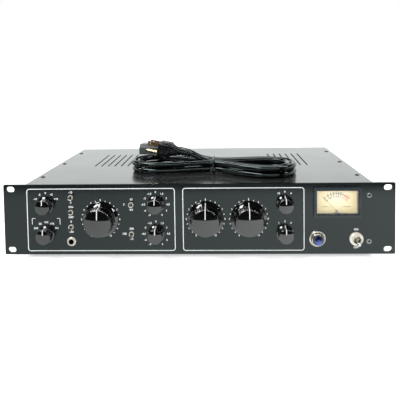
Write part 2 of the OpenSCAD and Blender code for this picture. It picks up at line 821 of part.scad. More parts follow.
// Turned bezel: a flange on the panel and a hollow dome round the jewel.
module lamp_bezel() {
    r = lamp_d / 2;
    r_in = jewel_d / 2 + fit_gap;
    color([0.85, 0.83, 0.78]) on_panel(column(lamp_x), power_row_z) rotate_extrude() polygon(concat(
        [[r_in, 0], [r, 0], [r, 1], [r - 0.5, 1.5]],
        [for (a = [0:15:90]) [r_in + 0.8 + (r - 1.4 - r_in - 0.8) * cos(a), 1.5 + (lamp_out - 1.5) * sin(a)]],
        [[r_in, lamp_out - 0.6]]
    ));
}

// Cut-glass jewel: a straight foot and three bands of facets.
module lamp_jewel() {
    r = jewel_d / 2;
    rise = jewel_out - lamp_out;
    color([0.1, 0.2, 0.8]) on_panel(column(lamp_x), power_row_z) {
        cylinder(r = r, h = lamp_out + eps, $fn = jewel_sides);
        translate([0, 0, lamp_out]) cylinder(r1 = r, r2 = r * 0.86, h = rise * 0.5 + eps, $fn = jewel_sides);
        translate([0, 0, lamp_out + rise * 0.5])
            cylinder(r1 = r * 0.86, r2 = r * 0.36, h = rise * 0.5, $fn = jewel_sides);
    }
}

// Meter
barrel_w = bezel_w - 4.5;
barrel_h = bezel_h - 4.5;
dial_y = front + dial_depth;
dial_t = 0.8;
pane_seat = 1.6;
pivot_drop = 12;
pivot_d = 1.6;
movement_d = 2 * (pivot_drop + pivot_d);
movement_l = 12;
needle_t = 0.4;
needle_gap = 0.8;
needle_y = dial_y - needle_gap - needle_t;

module meter_case() {
    color([0.1, 0.1, 0.1]) translate([column(meter_x), 0, meter_z]) difference() {
        translate([-barrel_w / 2, front, -barrel_h / 2]) cube([barrel_w, panel_t + meter_depth, barrel_h]);
        translate([-barrel_w / 2 + meter_wall, front - eps, -barrel_h / 2 + meter_wall])
            cube([barrel_w - 2 * meter_wall, panel_t + meter_depth - meter_wall, barrel_h - 2 * meter_wall]);
    }
}

// Moulded frame in front of the panel with a seat for the pane and a bevelled opening.
module meter_bezel() {
    lip = bezel_out - pane_seat - pane_t - fit_gap;
    color([0.06, 0.06, 0.07]) on_panel(column(meter_x), meter_z) difference() {
        union() {
            linear_extrude(bezel_out - 1) rounded(bezel_w, bezel_h, corner_r);
            translate([0, 0, bezel_out - 1 - eps])
                linear_extrude(1) rounded(bezel_w - 1, bezel_h - 1, corner_r);
        }
        translate([0, 0, -eps]) linear_extrude(bezel_out + 1) square([window_w, window_h], center = true);
        translate([0, 0, -eps]) linear_extrude(pane_seat + pane_t + fit_gap)
            square([window_w + 3, window_h + 3], center = true);
        for (i = [1:3]) translate([0, 0, bezel_out - lip * i / 3])
            linear_extrude(bezel_out)
                square([window_w + 2.4 * (4 - i) / 3, window_h + 2.4 * (4 - i) / 3], center = true);
    }
}

module meter_window() {
    color([0.9, 0.95, 1, 0.3]) on_panel(column(meter_x), meter_z) translate([0, 0, pane_seat])
        linear_extrude(pane_t)
            square([window_w + 3 - 2 * fit_gap, window_h + 3 - 2 * fit_gap], center = true);
}

module meter_dial() {
    color([1, 0.94, 0.78]) plate(dial_t, dial_y + dial_t) difference() {
        translate([column(meter_x), meter_z])
            square([barrel_w - 2 * meter_wall - fit_gap, barrel_h - 2 * meter_wall - fit_gap], center = true);
        translate([column(meter_x), meter_z - pivot_drop]) circle(d = pivot_d + 4 * fit_gap);
    }
}

// Moving-coil core behind the dial with the fixed pivot pin through it.
module meter_movement() {
    pin_l = dial_t + needle_gap + needle_t + 0.5;
    color([0.4, 0.4, 0.42]) translate([column(meter_x), dial_y + dial_t, meter_z]) rotate([-90, 0, 0]) {
        cylinder(d = movement_d, h = movement_l);
        translate([0, pivot_drop, -pin_l]) cylinder(d = pivot_d, h = pin_l + eps);
    }
}

// Pointer with a hub on the pivot pin, resting at the left end of the scale.
module meter_needle() {
    hub_d = pivot_d + 2.4;
    color([0.08, 0.08, 0.08]) translate([column(meter_x), needle_y + needle_t, meter_z - pivot_drop])
        rotate([90, -needle_rest, 0]) difference() {
            union() {
                cylinder(d = hub_d, h = needle_t);
                translate([-needle_w / 2, 0, 0]) cube([needle_w, needle_l, needle_t]);
            }
            translate([0, 0, -eps]) cylinder(d = pivot_d + 2 * running_gap, h = needle_t + 2 * eps);
        }
}

// Rear sockets
inlet_w = 28;
inlet_h = 20.5;
inlet_depth = 24;
inlet_flange_w = 50;
inlet_flange_h = 24;
inlet_cavity = [24.4, 16.6, 17];
inlet_screw_dx = 40;
inlet_screw_d = 3.4;
fuse_d = 15;
fuse_depth = 24;
fuse_cap_d = 18;
fuse_rim_t = 3;
fuse_cap_l = 7;
input_xs = [input_x, input_x - input_pitch];
socket_flange = [26, 31];
shell_d = 19;
shell_depth = 14;
core_d = 13.4;
pin_d = 2.4;
pin_pcd = 10.2;
pin_l = 11;
pin_angles = [-25, 205, 90];

module mains_inlet() {
    color([0.05, 0.05, 0.05]) on_rear(inlet_x, 0) difference() {
        union() {
            linear_extrude(socket_flange_t) rounded(inlet_flange_w, inlet_flange_h, 4);
            translate([-inlet_w / 2, -inlet_h / 2, -inlet_depth]) cube([inlet_w, inlet_h, inlet_depth + eps]);
        }
        translate([0, 0, socket_flange_t - inlet_cavity[2] / 2 + eps]) cube(inlet_cavity, center = true);
        for (s = [-1, 1]) translate([s * inlet_screw_dx / 2, 0, -eps])
            cylinder(d = inlet_screw_d, h = 2 * socket_flange_t);
    }
}

module fuse_holder() {
    color([0.05, 0.05, 0.05]) on_rear(fuse_x, 0) {
        translate([0, 0, -fuse_depth]) cylinder(d = fuse_d, h = fuse_depth + eps);
        cylinder(d = fuse_cap_d, h = fuse_rim_t);
        translate([0, 0, fuse_rim_t - eps])
            cylinder(d1 = fuse_cap_d - 3, d2 = fuse_cap_d - 5, h = fuse_cap_l);
    }
}

// Flange and barrel of a round three-pole socket.
module socket_shell() {
    linear_extrude(socket_flange_t) rounded(socket_flange[0], socket_flange[1], 3);
    translate([0, 0, -socket_depth]) cylinder(d = socket_d, h = socket_depth + eps);
}

module input_sockets() {
    color([0.1, 0.1, 0.1]) for (x = input_xs) on_rear(x, 0) difference() {
        socket_shell();
        translate([0, 0, socket_flange_t - shell_depth]) ring(shell_d, core_d, shell_depth + eps);
        for (a = pin_angles) rotate(a)
            translate([pin_pcd / 2, 0, socket_flange_t - pin_l]) cylinder(d = pin_d + 0.2, h = pin_l + eps);
    }
}

module output_socket() {
    color([0.1, 0.1, 0.1]) on_rear(output_x, 0) difference() {
        socket_shell();
        translate([0, 0, socket_flange_t - shell_depth]) cylinder(d = shell_d, h = shell_depth + eps);
    }
}

// Blades of the mains inlet and pins of the output socket, each standing on its cavity's floor.
module connector_pins() {
    color([0.8, 0.78, 0.6]) {
        on_rear(inlet_x, 0) for (p = [[-7, -2], [7, -2], [0, 2]])
            translate([p[0] - 1, p[1] - 2, socket_flange_t - inlet_cavity[2] + eps]) cube([2, 4, 14]);
        on_rear(output_x, 0) for (a = pin_angles) rotate(a)
            translate([pin_pcd / 2, 0, socket_flange_t - shell_depth]) cylinder(d = pin_d, h = pin_l);
    }
}

// Mains lead: three and a half loops in two layers, drawn in at the waist and tied
cord_r = cord_d / 2;
loops = 3.5;
loop_rings = 24;
tie_room = tie_t + rest_gap;
waist_half = cord_step / 2;
low_layer = case_top + rest_gap + cord_r;

function soft_rise(s) = (sqrt(s * s + waist_soft * waist_soft) - waist_soft)
    / (sqrt(1 + waist_soft * waist_soft) - waist_soft);
function ramp(q, from, to) = let (u = min(1, max(0, (q - from) / (to - from)))) u * u * (3 - 2 * u);

// Middle line of the inner loop at angle a: front of the waist at 0, right end at 90, left end at 270.
function loop_mid(a) = let (
    s = sin(a),
    reach = s >= 0 ? hank_reach_r : hank_reach_l,
    spread = s >= 0 ? hank_spread_r : hank_spread_l
) [reach * s, -cos(a) * (waist_half + spread * soft_rise(abs(s)))];
function loop_out(a) = let (d = loop_mid(a + 0.5) - loop_mid(a - 0.5)) [d[1], -d[0]] / norm(d);

// Column and layer of the lead after a number of whole turns, at a share q of the left half turn.
function slot_of(turn, q) =
    turn == 0 ? [0, 1 - ramp(q, 0.64, 0.9)] :
    turn == 1 ? [ramp(q, 0.4, 0.64), 0] :
    turn == 2 ? [1, ramp(q, 0.14, 0.4)] : [1, 1];

// From the hank's own frame to the cover.
function on_cover(p) = [
    hank_x + p[0] * cos(hank_turn) - p[1] * sin(hank_turn),
    hank_y + p[0] * sin(hank_turn) + p[1] * cos(hank_turn),
    p[2]
];
function hank_point(total) = let (
    turn = floor(total / 360),
    a = total - 360 * turn,
    slot = slot_of(turn, (a - 180) / 180),
    flat = loop_mid(a) + slot[0] * cord_step * loop_out(a),
    lift = tie_room * pow(1 - abs(sin(a)), 2)
) on_cover([flat[0], flat[1], low_layer + lift + slot[1] * cord_step]);
hank_ahead = on_cover([1, 0, 0]) - on_cover([0, 0, 0]);

// Distance between turns, measured on points every 5 degrees.
gap_step = 5;
gap_points = [for (t = [0:gap_step:360 * loops]) hank_point(t)];
hank_gap = min([for (i = [0:len(gap_points) - 1], j = [i + 12:1:len(gap_points) - 1])
    norm(gap_points[i] - gap_points[j])]) - cord_d;
echo(least_gap_of_the_hank = hank_gap);

// Tube of flat-sided rings along points, its ends square to the directions given.
module tube(points, d, sides, ahead, onward) {
    last = len(points) - 1;
    ways = [for (i = [0:last]) let (
        w = i == 0 ? ahead : i == last ? onward : points[i + 1] - points[i - 1]
    ) w / norm(w)];
    rings = [for (i = [0:last]) let (
        across = cross(ways[i], [0, 0, 1]) / norm(cross(ways[i], [0, 0, 1])),
        up = cross(across, ways[i])
    ) for (k = [0:sides - 1]) let (a = 360 * (k + 0.5) / sides)
        points[i] + d / 2 * (cos(a) * across + sin(a) * up)];
    walls = [for (i = [0:last - 1], k = [0:sides - 1], half = [0, 1]) let (
        a = i * sides + k,
        b = i * sides + (k + 1) % sides
    ) half == 0 ? [a, b, a + sides] : [b, b + sides, a + sides]];
    first_end = [for (k = [1:sides - 2]) [0, k + 1, k]];
    other_end = [for (k = [1:sides - 2]) let (b = last * sides) [b, b + k, b + k + 1]];
    polyhedron(rings, concat(walls, first_end, other_end));
}

module lead_hank() {
    color([0.03, 0.03, 0.03])
        tube(
            [for (i = [0:loops * loop_rings]) hank_point(i * 360 / loop_rings)],
            cord_d, 6, hank_ahead, -hank_ahead
        );
}

// Free stretches, in the hank's own frame: along it, across it and height over the cover.
plug_end = [-33, -1, 23];
plug_tilt = 10;
plug_route = [[-26.1, -1.3, 21.1], [-20.1, -2.1, 18.5], [-14.2, -3, 16], [-7.5, -3.7, 14]];
connector_end = [-67, 36, 23.9];
connector_route = [
    [-55.7, 34.7, 23.3], [-46.3, 31.5, 21.9], [-38.1, 26.9, 19.9], [-29.6, 21.5, 17.5], [-21.5, 16.9, 15.5],
    [-12.2, 13.9, 14.4]
];
function on_hank(p) = on_cover([p[0], p[1], p[2] + case_top]);
function lead_way(tilt) = [hank_ahead[0] * cos(tilt), hank_ahead[1] * cos(tilt), -sin(tilt)];

module lead_plug_tail() {
    points = concat([for (p = concat([plug_end], plug_route)) on_hank(p)], [hank_point(0)]);
    color([0.03, 0.03, 0.03]) tube(points, cord_d, 8, lead_way(plug_tilt), hank_ahead);
}

module lead_connector_tail() {
    route = concat([connector_end], connector_route);
    points = concat([for (p = route) on_hank(p)], [hank_point(360 * loops)]);
    color([0.03, 0.03, 0.03]) tube(points, cord_d, 8, hank_ahead, hank_ahead);
}

// Tapered strain relief with three grooves, along +X from the body to the lead.
relief_root_d = cord_d + 3;

module strain_relief() {
    groove_w = 1.6;
    rotate([0, 90, 0]) difference() {
        cylinder(d1 = relief_root_d, d2 = cord_d + 1.6, h = relief_l);
        for (i = [1:3]) translate([0, 0, relief_l * (i + 0.2) / 4.4])
            ring(cord_d + 8, cord_d + 1, groove_w);
    }
}

// Carries a moulded end to its place, its lead leaving at the end point and falling by the tilt.
module at_lead_end(end, tilt) {
    translate(on_hank(end)) rotate([0, tilt, hank_turn]) translate([-relief_l, 0, 0]) children();
}

// Moulded plug: a full-height head that narrows to its strain relief.
module mains_plug() {
    neck_l = plug_l - plug_head_l;
    color([0.04, 0.04, 0.04]) at_lead_end(plug_end, plug_tilt) {
        translate([-neck_l - eps, 0, 0]) rotate([0, 90, 0])
            cylinder(d1 = plug_h - 2, d2 = relief_root_d, h = neck_l + eps);
        translate([-neck_l, 0, 0])
            rotate([90, 0, -90]) linear_extrude(plug_head_l) rounded(plug_w, plug_h, 5);
        translate([-eps, 0, 0]) strain_relief();
    }
}

blade = [16.5, 1.5, 6.3];
blade_hole = [4, 3.2];
blade_dy = 12.7;
blade_rise = 4.4;
earth_d = 4.8;
earth_l = 20;
earth_drop = 7.5;

module plug_blades() {
    color([0.6, 0.5, 0.3]) at_lead_end(plug_end, plug_tilt) translate([-plug_l + eps, 0, 0]) {
        for (s = [-1, 1]) difference() {
            translate([-blade[0], s * blade_dy / 2 - blade[1] / 2, blade_rise - blade[2] / 2]) cube(blade);
            translate([-blade[0] + blade_hole[0], s * blade_dy / 2 + blade[1], blade_rise])
                rotate([90, 0, 0]) cylinder(d = blade_hole[1], h = 2 * blade[1]);
        }
        translate([0, 0, -earth_drop]) rotate([0, -90, 0]) cylinder(d = earth_d, h = earth_l);
    }
}

// Appliance connector: a six-sided body with its socket face to the left.
module lead_connector() {
    cut = 5;
    slot = [3, 5, 16];
    w = connector_w / 2;
    h = connector_h / 2;
    color([0.05, 0.05, 0.05]) at_lead_end(connector_end, 0) difference() {
        union() {
            rotate([90, 0, -90]) linear_extrude(connector_l)
                polygon([[-w, -h], [w, -h], [w, h - cut], [w - cut, h], [cut - w, h], [-w, h - cut]]);
            translate([-eps, 0, 0]) strain_relief();
        }
        for (p = [[-7, -2], [7, -2], [0, 2]])
            translate([-connector_l + slot[2] / 2 - eps, p[0], p[1]])
                cube([slot[2], slot[0], slot[1]], center = true);
    }
}

// Thin band round the waist with a knot in front and two loose ends.
tie_slack = 0.8;
tie_knot_d = 3;
tie_knot_l = 3.5;
tie_knot_drop = 2;
tie_end_d = 1.5;
tie_end_l = 8;
tie_end_fall = 20;
tie_end_spread = 28;

module lead_tie() {
    skew = tie_turn - hank_turn;
    in_w = (3 * cord_step + cord_d) / cos(skew) + tie_w * tan(skew) + 2 * (rest_gap + tie_slack);
    in_h = cord_step + cord_d + 2 * rest_gap;
    mid = low_layer + tie_room + cord_step / 2;
    color([0.03, 0.03, 0.03]) translate([hank_x, hank_y, mid]) rotate(tie_turn) {
        translate([tie_w / 2, 0, 0]) rotate([90, 0, -90]) linear_extrude(tie_w) difference() {
            rounded(in_w + 2 * tie_t, in_h + 2 * tie_t, 3);
            rounded(in_w, in_h, 2);
        }
        translate([0, -in_w / 2 - tie_t + eps, -tie_knot_drop]) rotate([90, 0, 0]) {
            cylinder(d = tie_knot_d, h = tie_knot_l);
            translate([0, 0, tie_knot_l - tie_end_d]) for (s = [-1, 1])
                rotate([tie_end_fall, s * tie_end_spread, 0]) cylinder(d = tie_end_d, h = tie_end_l);
        }
    }
}

front_panel();
chassis_tray();
rear_panel();
top_cover();
case_screws();
panel_screws();
stud_nuts();
feet();
main_board();
board_standoffs();
mains_transformer();
transformer_clamp();
audio_transformers();
tubes();
tube_sockets();
opto_cell();
filter_capacitors();
pot_bodies();
rotary_switch_bodies();
control_nuts();
toggle_bodies();
power_switch_body();
dress_nuts();
instrument_jack();
lamp_holder();
lamp_bezel();
lamp_jewel();
meter_case();
meter_bezel();
meter_window();
meter_dial();
meter_movement();
meter_needle();
power_lever();
mains_inlet();
fuse_holder();
input_sockets();
output_socket();
connector_pins();
lead_hank();
lead_plug_tail();
lead_connector_tail();
mains_plug();
plug_blades();
lead_connector();
lead_tie();
for (k = KNOBS) control_knob(k);
for (t = TOGGLES) toggle_lever(t);
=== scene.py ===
"""Rack compressor for a studio picture: paint, print, controls, meter, lamp and mains lead."""

import json
import math

import bmesh
import bpy
import numpy as np
from bpy.props import FloatProperty, FloatVectorProperty, IntProperty, PointerProperty
from mathutils import Matrix, Vector


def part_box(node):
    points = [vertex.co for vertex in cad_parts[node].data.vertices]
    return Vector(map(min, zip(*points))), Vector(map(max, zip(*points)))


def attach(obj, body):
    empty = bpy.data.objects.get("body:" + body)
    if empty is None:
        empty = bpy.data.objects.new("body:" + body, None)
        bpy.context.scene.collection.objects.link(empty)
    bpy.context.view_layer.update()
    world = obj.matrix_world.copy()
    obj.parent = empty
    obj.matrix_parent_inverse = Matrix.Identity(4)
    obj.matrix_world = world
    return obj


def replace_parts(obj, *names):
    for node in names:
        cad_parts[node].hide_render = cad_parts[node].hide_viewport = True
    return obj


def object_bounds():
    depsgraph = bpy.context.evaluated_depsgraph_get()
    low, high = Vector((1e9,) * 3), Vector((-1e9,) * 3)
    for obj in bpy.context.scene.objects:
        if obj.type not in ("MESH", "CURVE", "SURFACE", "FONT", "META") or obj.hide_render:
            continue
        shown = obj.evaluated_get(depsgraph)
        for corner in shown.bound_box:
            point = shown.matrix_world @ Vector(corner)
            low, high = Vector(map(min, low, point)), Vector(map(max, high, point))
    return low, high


bl_info = {
    "name": "Rack compressor",
    "version": (1, 0, 0),
    "blender": (4, 5, 0),
    "location": "View3D > Sidebar > Rack",
    "description": "Dresses the packed rack compressor with paint, print, controls and lead",
    "category": "Object",
}

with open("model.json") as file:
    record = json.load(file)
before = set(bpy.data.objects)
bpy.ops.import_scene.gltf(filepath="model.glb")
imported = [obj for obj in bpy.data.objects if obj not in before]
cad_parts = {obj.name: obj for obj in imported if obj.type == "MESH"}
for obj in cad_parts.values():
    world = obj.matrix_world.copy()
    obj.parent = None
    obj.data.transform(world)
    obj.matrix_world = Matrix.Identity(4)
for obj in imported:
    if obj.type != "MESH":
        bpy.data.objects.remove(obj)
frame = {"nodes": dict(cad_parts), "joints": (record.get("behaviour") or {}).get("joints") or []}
CAD_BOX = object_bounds()
NODES = frame["nodes"]
MM = 0.001
ROOT = "unit"
LARGE_KNOB_WIDTH = 30.0


def box_mm(node):
    """Lowest and highest corner of a node at rest, in millimetres."""
    low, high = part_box(node)
    return np.array(low) / MM, np.array(high) / MM


PANEL_FRONT = box_mm("front_panel")[0][1]
COVER_TOP = box_mm("top_cover")[1][2]
# Place of each moving piece's pivot on the panel's front: across and up, in millimetres.
PLACES = {j["child"]: np.array(j["pos_m"])[[0, 2]] / MM for j in frame["joints"]}
KNOBS = [name for name in PLACES if name.endswith("_knob")]
BIG_KNOBS = [name for name in KNOBS if np.ptp(box_mm(name), axis=0)[0] > LARGE_KNOB_WIDTH]
TOGGLES = [name for name in PLACES if name.endswith("_toggle")]


# Properties


def color_setting(name, description, default):
    """Colour property in linear values."""
    return FloatVectorProperty(name=name, description=description, subtype="COLOR", default=default)


def number_setting(name, description, default, unit="NONE"):
    """Number property, in the unit that its group or its description gives."""
    return FloatProperty(name=name, description=description, default=default, unit=unit)


def count_setting(name, description, default):
    """Whole-number property."""
    return IntProperty(name=name, description=description, default=default)


class FinishSettings(bpy.types.PropertyGroup):
    """Colours of the painted, moulded and printed surfaces."""

    panel_paint: color_setting("Panel paint", "Colour of the front panel", (0.0040, 0.0062, 0.0064))
    case_paint: color_setting("Case paint", "Colour of the cover and case", (0.021, 0.022, 0.0215))
    print_ink: color_setting("Print", "Colour of the printed lines and numbers", (0.72, 0.74, 0.74))
    knob_black: color_setting("Knobs", "Colour of the knobs", (0.0015, 0.0015, 0.0017))
    pointer_white: color_setting("Pointers", "Colour of the pointer lines", (0.66, 0.67, 0.66))
    dial_cream: color_setting("Dial", "Colour of the meter's dial card", (0.92, 0.82, 0.55))
    jewel_blue: color_setting("Jewel", "Colour of the lamp's jewel", (0.001, 0.010, 0.10))
    cord_black: color_setting("Lead", "Colour of the lead's jacket", (0.0016, 0.0016, 0.0018))


class ControlSettings(bpy.types.PropertyGroup):
    """Sizes of the controls and of the print round them, in millimetres."""

    skirt_radius: number_setting("Skirt radius", "Radius of a large knob's skirt", 22.0)
    cap_radius: number_setting("Cap radius", "Radius of a large knob's cap", 16.8)
    big_height: number_setting("Large height", "Height of a large knob", 22.5)
    foot_radius: number_setting("Foot radius", "Radius of a small knob's foot", 10.7)
    small_radius: number_setting("Small radius", "Radius of a small knob's cap", 9.0)
    small_height: number_setting("Small height", "Height of a small knob", 16.0)
    big_flutes: count_setting("Large flutes", "Flutes round a large knob", 30)
    small_flutes: count_setting("Small flutes", "Flutes round a small knob", 16)
    big_rise: number_setting("Large rise", "Rise of a large knob's face", 1.8)
    small_rise: number_setting("Small rise", "Rise of a small knob's face", 1.0)
    pointer_width: number_setting("Pointer width", "Width of a pointer line", 1.05)
    line_width: number_setting("Line width", "Width of a printed outline", 1.0)
    tick_radius: number_setting("Tick radius", "Radius of a large knob's tick ring", 23.4)


class LeadSettings(bpy.types.PropertyGroup):
    """Sizes of the mains lead and its hank, in millimetres and degrees."""

    diameter: number_setting("Diameter", "Diameter of the lead", 7.4)
    step: number_setting("Step", "Distance between neighbouring turns", 8.0)
    loops: number_setting("Loops", "Number of loops in the hank", 3.5)
    reach_right: number_setting("Right reach", "Reach of the right loops", 102.0)
    reach_left: number_setting("Left reach", "Reach of the left loops", 107.0)
    spread_right: number_setting("Right spread", "Half width of the right loops", 62.0)
    spread_left: number_setting("Left spread", "Half width of the left loops", 55.0)
    waist_soft: number_setting("Waist", "Softness of the draw at the waist", 0.3)
    middle_x: number_setting("Middle X", "Place of the waist across the cover", 20.0)
    middle_y: number_setting("Middle Y", "Place of the waist along the cover", 85.0)
    turn: number_setting("Turn", "Turn of the hank on the cover", -12.0)
    rest_gap: number_setting("Rest gap", "Gap under the lowest turns", 0.3)
    tie_thickness: number_setting("Tie", "Thickness of the tie", 1.0)


class StageSettings(bpy.types.PropertyGroup):
    """Camera, floor and light."""

    lens: number_setting("Lens", "Focal length on a 36 mm sensor", 47.68, "CAMERA")
    shift: number_setting("Shift", "Vertical shift of the frame", -0.25)
    table_edge: number_setting("Table edge", "Front edge of the white table in metres", -0.371, "LENGTH")
    key_power: number_setting("Key", "Power of the key light in watts", 10.0, "POWER")


class RackSettings(bpy.types.PropertyGroup):
    """All settings of the rack compressor."""

    finish: PointerProperty(type=FinishSettings)
    control: PointerProperty(type=ControlSettings)
    lead: PointerProperty(type=LeadSettings)
    stage: PointerProperty(type=StageSettings)


def settings():
    """The settings kept on the scene."""
    return bpy.context.scene.rack


# Node groups and materials

WHITE = (1.0, 1.0, 1.0, 1.0)
GRAIN_DEPTH = 0.0002
COARSE_SHARE = 0.3


def set_values(node, **values):
    """Sets a node's options, in lower case, and its inputs by name, an underscore standing for a space."""
    for key, value in values.items():
        if key.islower():
            setattr(node, key, value)
        else:
            node.inputs[key.replace("_", " ")].default_value = value
    return node


def add_node(tree, kind, **values):
    """New shader node of a kind, with its options and inputs set."""
    return set_values(tree.nodes.new("ShaderNode" + kind), **values)


def wire(tree, *links):
    """Links rows of node, output, node and input."""
    for source, output, target, socket in links:
        tree.links.new(source.outputs[output], target.inputs[socket])


def new_group(name, inputs, outputs):
    """Empty node group with float or colour sockets, given as name to default value."""
    group = bpy.data.node_groups.new(name, "ShaderNodeTree")
    for in_out, sockets in (("INPUT", inputs), ("OUTPUT", outputs)):
        for label, value in sockets.items():
            kind = "NodeSocketColor" if isinstance(value, tuple) else "NodeSocketFloat"
            socket = group.interface.new_socket(label, in_out=in_out, socket_type=kind)
            socket.default_value = value
    return group, group.nodes.new("NodeGroupInput"), group.nodes.new("NodeGroupOutput")


def object_noise(group, source, detail):
    """Noise texture on Object coordinates at the group's own scale."""
    place = add_node(group, "TexCoord")
    noise = add_node(group, "TexNoise", Detail=detail)
    wire(group, (place, "Object", noise, "Vector"), (source, "Scale", noise, "Scale"))
    return noise


def tint_group(name):
    """Colour that drifts between two tints: a soft noise mixes them."""
    group, source, target = new_group(
        name, {"Tint A": WHITE, "Tint B": WHITE, "Scale": 40.0}, {"Color": WHITE}
    )
    noise = object_noise(group, source, 5.0)
    spread = add_node(group, "MapRange", From_Min=0.35, From_Max=0.65)
    mix = add_node(group, "Mix", data_type="RGBA")
    wire(
        group,
        (noise, "Fac", spread, "Value"),
        (spread, "Result", mix, "Factor"),
        (source, "Tint A", mix, "A"),
        (source, "Tint B", mix, "B"),
        (mix, "Result", target, "Color"),
    )
    return group


def range_group(name):
    """Value that drifts between a low and a high end: noise stretched to that range, for roughness."""
    group, source, target = new_group(name, {"Low": 0.3, "High": 0.4, "Scale": 60.0}, {"Value": 0.35})
    noise = object_noise(group, source, 3.0)
    spread = add_node(group, "MapRange", From_Min=0.3, From_Max=0.7)
    wire(
        group,
        (noise, "Fac", spread, "Value"),
        (source, "Low", spread, "To Min"),
        (source, "High", spread, "To Max"),
        (spread, "Result", target, "Value"),
    )
    return group


def grain_group(name):
    """Fine height of paint or moulded skin: a fine noise and a coarser one, added."""
    group, source, target = new_group(name, {"Scale": 900.0}, {"Height": 0.5})
    fine = object_noise(group, source, 2.0)
    place = add_node(group, "TexCoord")
    coarse = add_node(group, "TexNoise", Detail=1.0)
    scale = add_node(group, "Math", operation="MULTIPLY")
    scale.inputs[1].default_value = COARSE_SHARE
    total = add_node(group, "Math", operation="ADD")
    wire(
        group,
        (source, "Scale", scale, 0),
        (scale, 0, coarse, "Scale"),
        (place, "Object", coarse, "Vector"),
        (fine, "Fac", total, 0),
        (coarse, "Fac", total, 1),
        (total, 0, target, "Height"),
    )
    return group


def light_pool_group(name):
    """Painted light and shade: a colour that changes outwards from a place on the front.

    The distance, in shares of a half width and a half height, mixes an inner into an outer colour.
    """
    sizes = {"X": 0.0, "Z": 0.0, "Wide": 1.0, "High": 1.0}
    group, source, target = new_group(name, {"Inner": WHITE, "Outer": WHITE, **sizes}, {"Color": WHITE})
    place = add_node(group, "TexCoord")
    axes = add_node(group, "SeparateXYZ")
    flat = add_node(group, "CombineXYZ")
    for axis, half in (("X", "Wide"), ("Z", "High")):
        away = add_node(group, "Math", operation="SUBTRACT")
        share = add_node(group, "Math", operation="DIVIDE")
        wire(
            group,
            (axes, axis, away, 0),
            (source, axis, away, 1),
            (away, 0, share, 0),
            (source, half, share, 1),
            (share, 0, flat, axis),
        )
    length = add_node(group, "VectorMath", operation="LENGTH")
    fade = add_node(group, "MapRange", interpolation_type="SMOOTHSTEP")
    mix = add_node(group, "Mix", data_type="RGBA")
    wire(
        group,
        (place, "Object", axes, "Vector"),
        (flat, "Vector", length, 0),
        (length, "Value", fade, "Value"),
        (fade, "Result", mix, "Factor"),
        (source, "Inner", mix, "A"),
        (source, "Outer", mix, "B"),
        (mix, "Result", target, "Color"),
    )
    return group


GROUPS = {
    "Tint drift": tint_group,
    "Value drift": range_group,
    "Skin grain": grain_group,
    "Colour pool": light_pool_group,
}


def place_group(tree, name, **values):
    """Puts a shared node group, built at its first use, into a material with its own values."""
    group = bpy.data.node_groups.get(name) or GROUPS[name](name)
    return add_node(tree, "Group", node_tree=group, **values)


